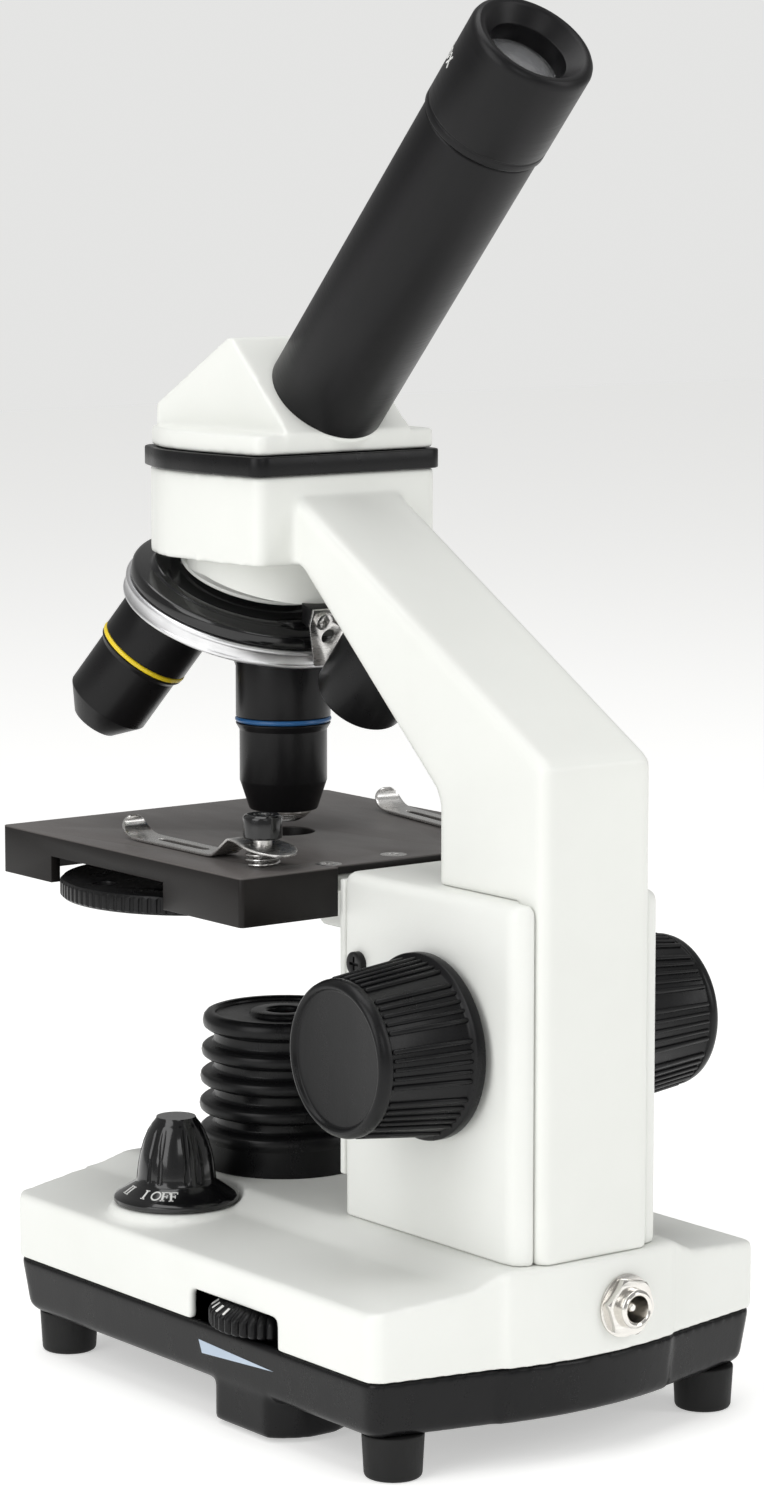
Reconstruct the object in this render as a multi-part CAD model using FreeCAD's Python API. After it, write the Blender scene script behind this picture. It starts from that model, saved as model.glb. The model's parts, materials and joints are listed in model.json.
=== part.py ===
"""Monocular student microscope with two lamps, built piece by piece, in millimetres.

+Z is up and the feet stand on z = 0.  Sizes are worked out about the optical axis, which is
vertical at x = 0, y = 0, with the arm towards +Y.  When the pieces are written they are all
moved by the same amount along Y, so that the origin is under the middle of the whole depth.
"""
import FreeCAD, Part
import math
import os

V = FreeCAD.Vector
X, Y, Z = V(1, 0, 0), V(0, 1, 0), V(0, 0, 1)

# ---- clearances ----
running = 0.05          # radial gap of a shaft, barrel or spigot that turns or slides
gap = 0.3               # gap between bodies that pass each other
split = 0.1             # visible joint line between fixed covers

# ---- base ----
base_half_width = 51.3
base_front = -32.2      # corner of the wings, in front of the axis
base_back = 100.9
foot_height = 9.3
seam_z = 21.5           # where the black pan meets the white shell
edge_top_z = 35.85      # top of the shell at its outer edge
shoulder_z = 38.4       # top of the flange beside the raised deck
deck_z = 41.8           # flat raised deck that carries the column and the lamp
deck_half_width = 22.0
shoulder_half_width = 29.0
base_wall = 2.3
foot_top_radius = 6.5
foot_bottom_radius = 6.0
foot_x = base_half_width - 9.7
foot_y = (-25.0, 95.0)

# ---- column and focus drive ----
housing_half_width = 19.2
housing_front = 48.3
housing_back = 107.0
housing_top = 116.0
housing_wall = 2.6
cover_thickness = 1.8
shaft_y = 79.6
shaft_z = 83.8
shaft_radius = 3.0
tooth_module = 0.8
pinion_teeth = 18
knob_base = 20.9        # inner face of a knob, from the middle
knob_end = 45.0
knob_flange_radius = 19.5
knob_front_radius = 16.2

# ---- arm and head ----
arm_half_width = 14.4
arm_back = 109.07
arm_front = 73.85
block_bottom = 178.5
block_top = 197.7
collar_top = 201.9
spigot_radius = 18.5

# ---- eyepiece tube: leaves the head at tube_foot and leans back ----
tube_foot = V(0, 16.8, 214.2)
tube_lean = 43.5        # degrees from vertical
tube_radius = 13.1
tube_bore = 11.625      # takes a 23.2 mm eyepiece
tube_length = 78.5
socket_depth = 3.0      # how far the tube goes into the head
eyepiece_length = 24.0
eyepiece_radius = tube_radius + 0.55

# ---- nosepiece: the axes of its three objectives meet at the apex ----
apex = V(0, 0, 199.2)
turret_lean = 21.7      # degrees between the turret's axis and the vertical
turret_radius = 27.3
grip_radius = 28.1
objective_radius = 10.5
thread_radius = objective_radius - 0.6
seat_length = 41.5      # from the apex to an objective's shoulder

# ---- stage ----
stage_top = 116.65
stage_thickness = 1.9
skirt_depth = 10.5
skirt_wall = 2.4
stage_half_width = 45.0
stage_front = -45.1
stage_back = 47.25
light_hole = 7.0
clip_x = 31.2
clip_y = 35.7
diaphragm_x = 21.7      # pivot of the aperture disc, and the radius of its ring of holes
diaphragm_y = -3.3
diaphragm_radius = 29.6

# ---- controls and socket ----
wheel_x = base_half_width - 12.9
wheel_y = 52.3
wheel_radius = 15.6
wheel_bottom = 22.1
wheel_thickness = 5.9
dial_x = base_half_width - 17.4
dial_y = 6.6
dial_radius = 13.7
dial_seat_z = shoulder_z + 0.5
dial_seat_radius = dial_radius + 0.9
stem_radius = 2.5       # of the dial and the wheel
jack_x = -6.5
jack_z = 31.0
jack_reach = 5.0        # how far the socket stands out of the back

# ---- bowed ends of the base, and what is bolted to it ----
deck_front = -31.0
bulge = 2.7             # how far the middle of the base bows out
bulge_half_width = 22.0
base_end = 110.7        # the furthest point of the bow at the back
base_nose = -40.0       # the same at the front
column_bolts = [(x, y) for x in (-12.0, 12.0) for y in (57.0, 94.0)]
bolt_radius = 2.0
foot_screw_radius = 1.5
foot_boss_radius = 4.5
well_radius = 14.5      # round well under the brightness wheel
well_bottom = 0.8

# ---- lamps ----
lamp_height = 34.7
wire_hole_radius = 8.0  # in the deck, under the lower lamp
lamp_distance = 22.0    # from the head block to the upper lamp, along the arm's slanted underside
upper_lamp_length = 19.5
upper_lamp_radius = 10.1
lamp_neck_radius = 5.0

# ---- focus drive ----
travel_up = 1.0
travel_down = 18.0
pitch_radius = tooth_module * pinion_teeth / 2
addendum = 0.8 * tooth_module
dedendum = 1.05 * tooth_module
backlash = 0.06
rail_half_gap = 8.5
rail_outer = housing_half_width - housing_wall
rail_back = 60.1
carriage_back = 66.0
carriage_half_width = 12.8
carriage_low = 76.0
carriage_high = 110.5
bush_radius = shaft_radius + 2.0
limit_y = housing_front + 5.3
limit_z = 96.9
limit_radius = 1.6

# ---- rotating head ----
lip_z = 206.6           # where the sloping roof of the head starts
ridge_z = 226.3
head_front = -25.0
head_front_z = 210.8
head_half_width = tube_radius + 3.4
head_bore = spigot_radius - 2.5

# ---- turret along its own axis, from the apex ----
turret_face = 27.5
seat_face = turret_face - gap
ring_start = 33.3
ring_end = 37.6
ring_seat = 24.5        # radius where the metal ring sits on the black body
axle_radius = 3.0
axle_head = 3.5
light_path = 5.0        # radius of the way for the light through the turret
detent_screw_x = (-2.9, 2.9)
detent_screw_radius = 0.9
plate_reach = 28.9      # from the turret's axis to the detent plate

# ---- under the stage ----
under = stage_top - stage_thickness
skirt_bottom = stage_top - skirt_depth
disc_top = 108.4
disc_bottom = 104.4
disc_pin_radius = 2.5
flange_bottom = under - 4.0
gusset_bottom = 101.5
post_screw_radius = 1.5
stage_screw_radius = 1.6
screw_places = [(-18.6, 42.0), (0.0, 40.3), (18.6, 42.0)]

# ---- clips ----
leaf_z = stage_top + 4.9
leaf_thickness = 0.6
post_radius = 2.0
right_clip_turn = -8.2  # the right clip is swung a little outwards at rest

origin_y = (stage_front + base_end + jack_reach) / 2

parts = {}


# ---------------------------------------------------------------- plain shapes
def block(x0, x1, y0, y1, z0, z1):
    return Part.makeBox(x1 - x0, y1 - y0, z1 - z0, V(x0, y0, z0))


def rod(radius, length, base=V(0, 0, 0), direction=Z):
    return Part.makeCylinder(radius, length, base, direction)


def tube(outer, inner, length, base=V(0, 0, 0), direction=Z):
    return rod(outer, length, base, direction).cut(rod(inner, length, base, direction))


def along(start, direction, distance):
    return start + direction * distance


def outline(points, lift):
    """A closed wire through (a, b, radius) corners; radius "via" marks an arc's middle point."""
    count = len(points)
    cut_in, cut_out = {}, {}
    for i, (a, b, radius) in enumerate(points):
        here = V(a, b, 0)
        cut_in[i] = cut_out[i] = here
        if radius == "via" or not radius:
            continue
        before = V(points[i - 1][0], points[i - 1][1], 0) - here
        after = V(points[(i + 1) % count][0], points[(i + 1) % count][1], 0) - here
        before.normalize()
        after.normalize()
        half = before.getAngle(after) / 2
        reach = radius / math.tan(half)
        cut_in[i] = here + before * reach
        cut_out[i] = here + after * reach
    edges = []
    for i, (a, b, radius) in enumerate(points):
        following = (i + 1) % count
        if radius == "via":
            edges.append(Part.Arc(lift(cut_out[i - 1]), lift(V(a, b, 0)), lift(cut_in[following])).toShape())
            continue
        if radius:
            here = V(a, b, 0)
            middle = (cut_in[i] + cut_out[i]) * 0.5 - here
            distance = math.hypot(radius, (cut_in[i] - here).Length) - radius
            middle.normalize()
            top = lift(here + middle * distance)
            edges.append(Part.Arc(lift(cut_in[i]), top, lift(cut_out[i])).toShape())
        if points[following][2] != "via":
            edges.append(Part.LineSegment(lift(cut_out[i]), lift(cut_in[following])).toShape())
    return Part.Wire(Part.__sortEdges__(edges))


def sharp(points):
    return [(a, b, 0) for a, b in points]


def prism_z(points, z0, z1):
    wire = outline(points, lambda p: V(p.x, p.y, z0))
    return Part.Face(wire).extrude(V(0, 0, z1 - z0))


def prism_x(points, x0, x1):
    wire = outline(points, lambda p: V(x0, p.x, p.y))
    return Part.Face(wire).extrude(V(x1 - x0, 0, 0))


def prism_y(points, y0, y1):
    wire = outline(points, lambda p: V(p.x, y0, p.y))
    return Part.Face(wire).extrude(V(0, y1 - y0, 0))


def lathe(profile, base=V(0, 0, 0), direction=Z):
    """Turn a closed (radius, height) profile about an axis."""
    wire = Part.makePolygon([V(r, 0, h) for r, h in profile] + [V(profile[0][0], 0, profile[0][1])])
    solid = Part.Face(wire).revolve(V(0, 0, 0), Z, 360)
    solid.Placement = FreeCAD.Placement(base, FreeCAD.Rotation(Z, direction))
    return solid


def fuse(first, *others):
    return first.fuse(list(others)).removeSplitter()


def inset(points, distance):
    """Corners of a closed polygon moved inwards by distance; the corners run anticlockwise."""
    moved = []
    for i, (a, b) in enumerate(points):
        back = V(a - points[i - 1][0], b - points[i - 1][1], 0)
        following = points[(i + 1) % len(points)]
        ahead = V(following[0] - a, following[1] - b, 0)
        back.normalize()
        ahead.normalize()
        normal_back = V(-back.y, back.x, 0)
        normal_ahead = V(-ahead.y, ahead.x, 0)
        shift = (normal_back + normal_ahead) * (distance / (1 + normal_back.dot(normal_ahead)))
        moved.append((a + shift.x, b + shift.y))
    return moved


def mirrored(shape):
    return shape.mirror(V(0, 0, 0), X)


def keep(name, *solids):
    """Store a node; several solids stay separate inside it."""
    flat = [solid for shape in solids for solid in shape.Solids]
    parts[name] = Part.makeCompound(flat) if len(flat) > 1 else flat[0]


def screw(head_radius, head_height, radius, length, base, direction):
    """A pan-head screw whose head seats at base and whose shank runs along direction."""
    head = rod(head_radius, head_height, along(base, direction, -head_height), direction)
    slot = head_radius * 1.2
    cross = block(-slot / 2, slot / 2, -0.3, 0.3, -head_height, -head_height / 2)
    cross = cross.fuse(block(-0.3, 0.3, -slot / 2, slot / 2, -head_height, -head_height / 2))
    cross.Placement = FreeCAD.Placement(base, FreeCAD.Rotation(Z, direction))
    return fuse(head, rod(radius, length, base, direction)).cut(cross)


# ---------------------------------------------------------------- base
def base_outline(step):
    """Plan of the base, moved inwards by step."""
    side = base_half_width - step
    back_bow = base_end - step
    front_bow = base_nose + step
    wing = 1.0
    half = [
        (bulge_half_width + wing, front_bow + bulge + wing, 0),
        (side, base_front + step, 4.0),
        (side, base_back - step, 4.0),
        (bulge_half_width + wing, back_bow - bulge - wing, 0),
        (bulge_half_width, back_bow - bulge, 0),
    ]
    left = [(-a, b, r) for a, b, r in reversed(half)]
    return half + [(0, back_bow, "via")] + left + [
        (-bulge_half_width, front_bow + bulge, 0),
        (0, front_bow, "via"),
        (bulge_half_width, front_bow + bulge, 0),
    ]


def tapered(levels):
    """A solid through base outlines at (inset, z) levels."""
    wires = [outline(base_outline(step), lambda p, z=z: V(p.x, p.y, z)) for step, z in levels]
    return Part.makeLoft(wires, True, True)


def shell_form(step, floor_z):
    """The white shell's outside for step 0, or its hollow for a wall of that thickness."""
    side = base_half_width + 5
    section = [
        (-side, floor_z), (side, floor_z), (side, edge_top_z - step - 0.3),
        (base_half_width, edge_top_z - step), (shoulder_half_width, shoulder_z - step),
        (deck_half_width, deck_z - step), (-deck_half_width, deck_z - step),
        (-shoulder_half_width, shoulder_z - step), (-base_half_width, edge_top_z - step),
        (-side, edge_top_z - step - 0.3),
    ]
    fall = deck_z - shoulder_z
    length = [
        (base_nose - 5, floor_z), (base_end + 5, floor_z), (base_end + 5, deck_z - step),
        (deck_front, deck_z - step), (deck_front - fall, shoulder_z - step),
        (base_nose - 5, shoulder_z - step),
    ]
    form = prism_z(base_outline(step), floor_z, deck_z)
    form = form.common(prism_y(sharp(section), base_nose - 10, base_end + 10))
    return form.common(prism_x(sharp(length), -side - 5, side + 5))


def make_base():
    outside = shell_form(0, seam_z)
    shell = outside.cut(shell_form(base_wall, seam_z - 1))
    seat_bottom = dial_seat_z - base_wall
    rim = rod(dial_seat_radius + base_wall, deck_z - seat_bottom, V(dial_x, dial_y, seat_bottom))
    pad = rod(dial_seat_radius, base_wall, V(dial_x, dial_y, seat_bottom))
    shell = shell.fuse([rim.common(outside), pad])
    shell = shell.cut(rod(dial_seat_radius, 8, V(dial_x, dial_y, dial_seat_z)))
    bosses = []
    for x in (-foot_x, foot_x):
        for y in foot_y:
            bosses.append(rod(foot_boss_radius, edge_top_z - base_wall - seam_z + 0.6, V(x, y, seam_z)))
    shell = fuse(shell, *bosses)
    shell = shell.cut(block(wheel_x - wheel_radius - 1, base_half_width + 2, wheel_y - wheel_radius,
                            wheel_y + wheel_radius, seam_z - 1, wheel_bottom + wheel_thickness + gap))
    for x in (-foot_x, foot_x):
        for y in foot_y:
            shell = shell.cut(rod(foot_screw_radius, 10, V(x, y, seam_z)))
    for x, y in column_bolts:
        shell = shell.cut(rod(bolt_radius, 10, V(x, y, deck_z - 6)))
    shell = shell.cut(rod(wire_hole_radius, 12, V(0, 0, deck_z - 6)))
    shell = shell.cut(block(-10, 10, 62, 90, deck_z - 6, deck_z + 1))
    shell = shell.cut(rod(3.5, 12, V(dial_x, dial_y, 32)))
    shell = shell.cut(rod(4.0, 12, V(jack_x, base_end - 9, jack_z), Y))
    shell = shell.cut(rod(7.0, 4, V(jack_x, base_end - 0.6, jack_z), Y))
    keep("base_shell", shell)

    pan = tapered([(3.0, foot_height), (1.6, foot_height + 1.5), (0.3, seam_z)])
    hollow = tapered([(4.4, foot_height + base_wall), (0.3 + base_wall, seam_z + 0.01)])
    pan = pan.cut(hollow)
    well_flat = base_half_width - 2.0
    well = rod(well_radius, foot_height + base_wall - well_bottom, V(wheel_x - 0.4, wheel_y, well_bottom))
    well = well.common(block(0, well_flat, 0, 90, 0, seam_z))
    pit = rod(well_radius - 2, foot_height + base_wall - well_bottom,
              V(wheel_x - 0.4, wheel_y, well_bottom + 2))
    pit = pit.common(block(0, well_flat - 2, 0, 90, 0, seam_z))
    pan = fuse(pan, well).cut(pit)
    bosses = []
    for x in (-foot_x, foot_x):
        for y in foot_y:
            bosses.append(rod(foot_boss_radius, seam_z - foot_height - 1, V(x, y, foot_height + 1)))
    pan = fuse(pan, *bosses)
    for x in (-foot_x, foot_x):
        for y in foot_y:
            pan = pan.cut(rod(foot_screw_radius, seam_z, V(x, y, 0)))
    keep("base_pan", pan)


def make_feet():
    feet, screws = [], []
    head_seat = 4.5
    for x in (-foot_x, foot_x):
        for y in foot_y:
            foot = lathe([(3.2, 0), (foot_bottom_radius - 0.5, 0), (foot_bottom_radius, 0.5),
                          (foot_top_radius, foot_height), (foot_screw_radius, foot_height),
                          (foot_screw_radius, head_seat), (3.2, head_seat)], V(x, y, 0))
            feet.append(foot)
            screws.append(screw(2.9, 2.0, foot_screw_radius, 24, V(x, y, head_seat), Z))
    keep("rubber_feet", *feet)
    for x, y in column_bolts:
        screws.append(screw(3.6, 2.6, bolt_radius, 13, V(x, y, deck_z - base_wall), Z))
    keep("base_screws", *screws)


def make_socket():
    """Low-voltage socket in the back of the base, with its nut and washer."""
    face = base_end - 0.6
    body = lathe([(2.8, jack_reach - 0.4), (3.4, jack_reach), (4.0, jack_reach - 0.6), (4.0, -2.9),
                  (6.0, -2.9), (6.0, -13.0), (0, -13.0), (0, -6.0), (2.8, -6.0)], V(jack_x, face, jack_z), Y)
    pin = lathe([(0, -6.0), (1.0, -6.0), (1.0, 2.6), (0.7, 3.1), (0, 3.1)], V(jack_x, face, jack_z), Y)
    keep("jack_body", fuse(body, pin))
    washer = tube(6.6, 4.0, 0.7, V(jack_x, face, jack_z), Y)
    across = 11.0 / 2 / math.cos(math.radians(30))
    corners = [(jack_x + across * math.cos(math.radians(60 * k + 12)),
                jack_z + across * math.sin(math.radians(60 * k + 12))) for k in range(6)]
    nut = prism_y(sharp(corners), face + 0.7, face + 2.9)
    nut = nut.common(lathe([(0, 0.7), (6.0, 0.7), (6.35, 1.2), (6.35, 2.3), (5.8, 2.9), (0, 2.9)],
                           V(jack_x, face, jack_z), Y))
    keep("jack_nut", washer, nut.cut(rod(4.0, 6, V(jack_x, face, jack_z), Y)))


# ---------------------------------------------------------------- controls
def make_electrics():
    board_z = foot_height + base_wall + 4
    board = block(-30, 16, -20, 40, board_z, board_z + 1.6)
    posts = []
    for x in (-27, 13):
        for y in (-17, 37):
            posts.append(rod(2.5, board_z - foot_height - base_wall, V(x, y, foot_height + base_wall)))
            board = board.cut(rod(1.4, 5, V(x, y, board_z - 1)))
    top = board_z + 1.6
    chips = [block(-22, -14, -8, 2, top, top + 2.2), block(-6, 4, 14, 24, top, top + 3.0),
             rod(3.2, 8, V(-20, 22, top)), rod(3.2, 8, V(-20, 31, top)), block(4, 12, -12, -4, top, top + 5)]
    keep("circuit_board", board, *posts, *chips)

    rotary = block(dial_x - 8, dial_x + 8, dial_y - 8, dial_y + 8, 24.5, 32.5)
    rotary = fuse(rotary, rod(3.5, 8.4, V(dial_x, dial_y, 32.5)),
                  tube(5.5, 3.5, 1.8, V(dial_x, dial_y, dial_seat_z)))
    rotary = rotary.cut(rod(stem_radius + running, 14, V(dial_x, dial_y, 28)))
    keep("rotary_switch", rotary)

    pot = rod(8.0, 14.0, V(wheel_x, wheel_y, 5.0))
    pot = pot.cut(rod(stem_radius + running, 12, V(wheel_x, wheel_y, 9.0)))
    keep("potentiometer", pot)


def make_switch_dial():
    """Skirted pointer knob with grooves round it, and the stem that goes into the switch."""
    foot = dial_seat_z + gap
    top = 18.6
    knob = lathe([(0, 5.2), (3.1, 5.2), (3.1, 2.2), (6.3, 2.2), (6.3, 0), (dial_radius, 0),
                  (dial_radius, 1.1), (dial_radius - 1.1, 2.0), (8.6, 4.6), (8.1, 8.0),
                  (7.2, 12.5), (5.9, 16.2), (4.6, 18.1), (3.4, top), (0, top)],
                 V(dial_x, dial_y, foot))
    groove_count = 12
    for k in range(groove_count):
        turn = math.radians(360 / groove_count * (k + 0.5))
        out = V(math.cos(turn), math.sin(turn), 0)
        low = V(dial_x, dial_y, foot + 6.2) + out * 9.0
        high = V(dial_x, dial_y, foot + 16.4) + out * 6.4
        knob = knob.cut(rod(1.0, (high - low).Length, low, high - low))
    stem = rod(stem_radius, foot + 6.0 - 29.0, V(dial_x, dial_y, 29.0))
    keep("switch_dial", fuse(knob, stem))


def make_brightness_wheel():
    round_off = 0.5
    wheel = lathe([(0, 0), (wheel_radius - round_off, 0), (wheel_radius, round_off),
                   (wheel_radius, wheel_thickness - round_off), (wheel_radius - round_off, wheel_thickness),
                   (0, wheel_thickness)], V(wheel_x, wheel_y, wheel_bottom))
    notches = []
    notch_count = 36
    for k in range(notch_count):
        turn = math.radians(360 / notch_count * k)
        notches.append(rod(0.75, wheel_thickness + 1,
                           V(wheel_x + (wheel_radius + 0.25) * math.cos(turn),
                             wheel_y + (wheel_radius + 0.25) * math.sin(turn), wheel_bottom - 0.5)))
    wheel = wheel.cut(Part.makeCompound(notches))
    stem = rod(stem_radius, wheel_bottom - 9.5 + 2, V(wheel_x, wheel_y, 9.5))
    keep("brightness_wheel", fuse(wheel, stem))


# ---------------------------------------------------------------- lower lamp
def make_lower_lamp():
    """Ribbed housing on the deck: a plain foot, four thin ribs and a rimmed top."""
    body = [(13.5, 3.0), (13.5, 0), (18.5, 0), (18.5, 7.2)]
    rib_heights = (6.2 + 1.2, 12.4 + 1.2, 18.7 + 1.2, 24.7 + 1.2)
    core = 17.6
    for height in rib_heights:
        body += [(core, height - 1.4), (core + 2.6, height - 0.7), (21.0, height - 0.2), (21.0, height + 0.3),
                 (core + 2.6, height + 0.9), (core, height + 1.5)]
    body += [(core, 30.6), (19.8, 31.4), (20.3, 32.2), (20.3, 33.4), (19.4, lamp_height), (17.2, lamp_height),
             (16.6, 33.5), (11.6, 33.5), (11.2, 34.3), (8.6, 34.3), (8.2, 33.4), (6.2, 33.4), (6.2, 29.0),
             (13.5, 29.0)]
    housing = lathe(body, V(0, 0, deck_z))
    keep("lamp_housing", housing)
    lens = lathe([(0, 29.6), (6.2, 29.6), (6.2, 31.2), (4.4, 32.3), (2.2, 32.9), (0, 33.1)], V(0, 0, deck_z))
    keep("lamp_lens", lens)


def led_board(base, direction, radius):
    board = rod(radius, 1.6, base, direction)
    led = lathe([(0, 1.6), (2.5, 1.6), (2.5, 3.4), (2.0, 4.6), (1.0, 5.3), (0, 5.5)], base, direction)
    return fuse(board, led)


# ---------------------------------------------------------------- focus drive
def make_housing():
    """Focus housing on the deck, its front cover with the slot, and the guide rails."""
    width = housing_half_width
    plan = [(-width, housing_front, 1.2), (width, housing_front, 1.2), (width, housing_back, 4.0),
            (-width, housing_back, 4.0)]
    box = prism_z(plan, deck_z, housing_top)
    rim = [edge for edge in box.Edges if edge.BoundBox.ZMin > housing_top - 0.01]
    box = box.makeFillet(2.2, rim)
    wall = housing_wall
    box = box.cut(block(-width + wall, width - wall, housing_front + wall, housing_back - wall,
                        deck_z - 1, housing_top - wall - 0.4))
    box = box.cut(block(-width + wall, width - wall, housing_front - 1, housing_front + wall + 1, 50, 113))
    spine = arm_half_width + split
    box = box.cut(block(-spine, spine, housing_back - wall - 3.3, housing_back + 1,
                        deck_z - 1, housing_top + 1))
    box = box.cut(block(-8, 8, 82, housing_back, housing_top - 6, housing_top + 1))
    bosses = []
    for x, y in column_bolts:
        side = math.copysign(1, x)
        boss = block(min(x - 4 * side, side * (width - 1)), max(x - 4 * side, side * (width - 1)),
                     y - 4, y + 4, deck_z, deck_z + 12)
        bosses.append(boss.cut(rod(bolt_radius, 11, V(x, y, deck_z))))
    box = fuse(box, *bosses)
    for side in (-1, 1):
        box = box.cut(rod(bush_radius, 12, V(side * (width - 6), shaft_y, shaft_z), X * side))
    box = box.cut(rod(limit_radius, 10, V(width - 5, limit_y, limit_z), X))
    keep("focus_housing", box)

    front = housing_front - cover_thickness
    cover = block(-width, width, front, housing_front, 50.5, housing_top - 2.0)
    upright = [edge for edge in cover.Edges
               if edge.BoundBox.ZLength > 10 and edge.BoundBox.YMin < front + 0.1]
    cover = cover.makeFillet(0.8, upright)
    slot_top = 112.6
    keep("front_cover", cover.cut(block(-rail_half_gap, rail_half_gap, front - 1, housing_front + 1,
                                        54, slot_top)))

    rail = block(rail_half_gap, rail_outer, housing_front, rail_back, 56, slot_top)
    drilled = rail.cut(rod(limit_radius, 9, V(rail_outer - 8, limit_y, limit_z), X))
    keep("guide_rails", drilled, mirrored(rail))
    keep("limit_screw", screw(2.6, 1.4, limit_radius, 8, V(width, limit_y, limit_z), X * -1))

    bushes = []
    for side in (-1, 1):
        inside = V(side * (width - 5.5), shaft_y, shaft_z)
        bush = tube(bush_radius, shaft_radius + running, 6.0, inside, X * side)
        collar = tube(bush_radius + 1.4, shaft_radius + running, 0.9, V(side * width, shaft_y, shaft_z),
                      X * side)
        bushes.append(fuse(bush, collar))
    keep("shaft_bushes", *bushes)


def tooth_flank(radius):
    """Half the angle that a tooth covers at this radius, for an involute of 20 degrees."""
    pressure = math.radians(20)
    base_radius = pitch_radius * math.cos(pressure)
    half_at_pitch = (math.pi * tooth_module / 2 - backlash) / 2 / pitch_radius
    at_pitch = math.tan(pressure) - pressure
    angle = math.acos(min(1.0, base_radius / radius))
    return half_at_pitch + at_pitch - (math.tan(angle) - angle)


def make_pinion_and_rack():
    tip = pitch_radius + addendum
    root = pitch_radius - dedendum
    steps = 5
    radii = [root + 0.12 + (tip - root - 0.12) * k / steps for k in range(steps + 1)]
    corners = []
    for tooth in range(pinion_teeth):
        centre = math.radians(270) + 2 * math.pi * tooth / pinion_teeth
        left = [(r, centre - tooth_flank(r)) for r in radii]
        right = [(r, centre + tooth_flank(r)) for r in reversed(radii)]
        for r, angle in left + right:
            corners.append((shaft_y + r * math.sin(angle), shaft_z + r * math.cos(angle)))
    gear = prism_x(sharp(corners), -4, 4).cut(rod(shaft_radius, 10, V(-5, shaft_y, shaft_z), X))
    keep("pinion", gear)

    pitch = math.pi * tooth_module
    line = shaft_y - pitch_radius
    slope = math.tan(math.radians(20))
    below, above = 3, 11
    low = carriage_low + 0.5
    profile = [(carriage_back, low), (line - dedendum, low)]
    for k in range(-below, above):
        gap_centre = shaft_z + pitch * k
        crest_low = gap_centre + pitch / 2
        half = (pitch / 2 - backlash) / 2
        profile += [(line - dedendum, crest_low - half - slope * dedendum),
                    (line + addendum, crest_low - half + slope * addendum),
                    (line + addendum, crest_low + half - slope * addendum),
                    (line - dedendum, crest_low + half + slope * dedendum)]
    high = profile[-1][1] + 0.4
    profile += [(line - dedendum, high), (carriage_back, high)]
    keep("rack", prism_x(sharp(profile), -3.9, 3.9))


def make_knob(side):
    """Tapered cup knob: thin grooves in groups of four, a flange, and a recessed end disc."""
    length = knob_end - knob_base
    profile = [(shaft_radius, 3.0), (shaft_radius, length - 4.0), (0, length - 4.0), (0, length - 0.9),
               (14.3, length - 0.9), (14.5, length), (15.3, length), (knob_front_radius, length - 1.2),
               (knob_front_radius + 0.2, length - 2.4), (18.6, 2.6), (knob_flange_radius, 2.3),
               (knob_flange_radius, 0), (16.8, 0), (14.4, length - 4.0), (6.0, length - 4.0), (6.0, 3.0)]
    base = V(side * knob_base, shaft_y, shaft_z)
    knob = lathe(profile, base, X * side)
    groups, grooves_each, spacing, groove = 9, 4, 6.6, 0.62
    cuts = []
    for group in range(groups):
        for k in range(grooves_each):
            turn = math.radians(group * 360 / groups + (k - (grooves_each - 1) / 2) * spacing)
            out = V(0, math.cos(turn), math.sin(turn))
            start = base + X * (side * 3.0) + out * 18.75
            end = base + X * (side * (length - 3.2)) + out * (knob_front_radius + 0.45)
            cuts.append(rod(groove, (end - start).Length, start, end - start))
    return knob.cut(Part.makeCompound(cuts))


def make_focus_drive():
    reach = knob_end - 4.0
    keep("focus_shaft", rod(shaft_radius, 2 * reach, V(-reach, shaft_y, shaft_z), X))
    keep("focus_knob_left", make_knob(1))
    keep("focus_knob_right", make_knob(-1))


# ---------------------------------------------------------------- arm and head
def block_outline(grow):
    """Plan of the head block: flat at the back, round at the front."""
    half = [(7.5, -27.0 - grow, 16), (19.5 + grow, -23.5 - grow, 7), (25.6 + grow, -10.0, 26),
            (26.0 + grow, 6.0, 60), (23.9 + grow, 24.5 + grow, 2.6 + grow)]
    return half + [(-a, b, r) for a, b, r in reversed(half)]


def arm_profile():
    """Side view of the arm from the head block down to the top of the focus housing."""
    return [(12.0, block_bottom + 0.6), (24.9, block_bottom + 0.1), (72.4, 135.6), (arm_front, 132.8),
            (arm_front, housing_top), (arm_back, housing_top), (arm_back, 143.6), (106.9, 145.4),
            (24.0, 193.4), (12.0, 193.4)]


def lamp_place():
    """Where the upper lamp stands on the arm, and the square direction away from it."""
    start, end = arm_profile()[1:3]
    slope = V(0, end[0] - start[0], end[1] - start[1])
    slope.normalize()
    return V(0, start[0], start[1]) + slope * lamp_distance, slope.cross(X)


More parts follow.
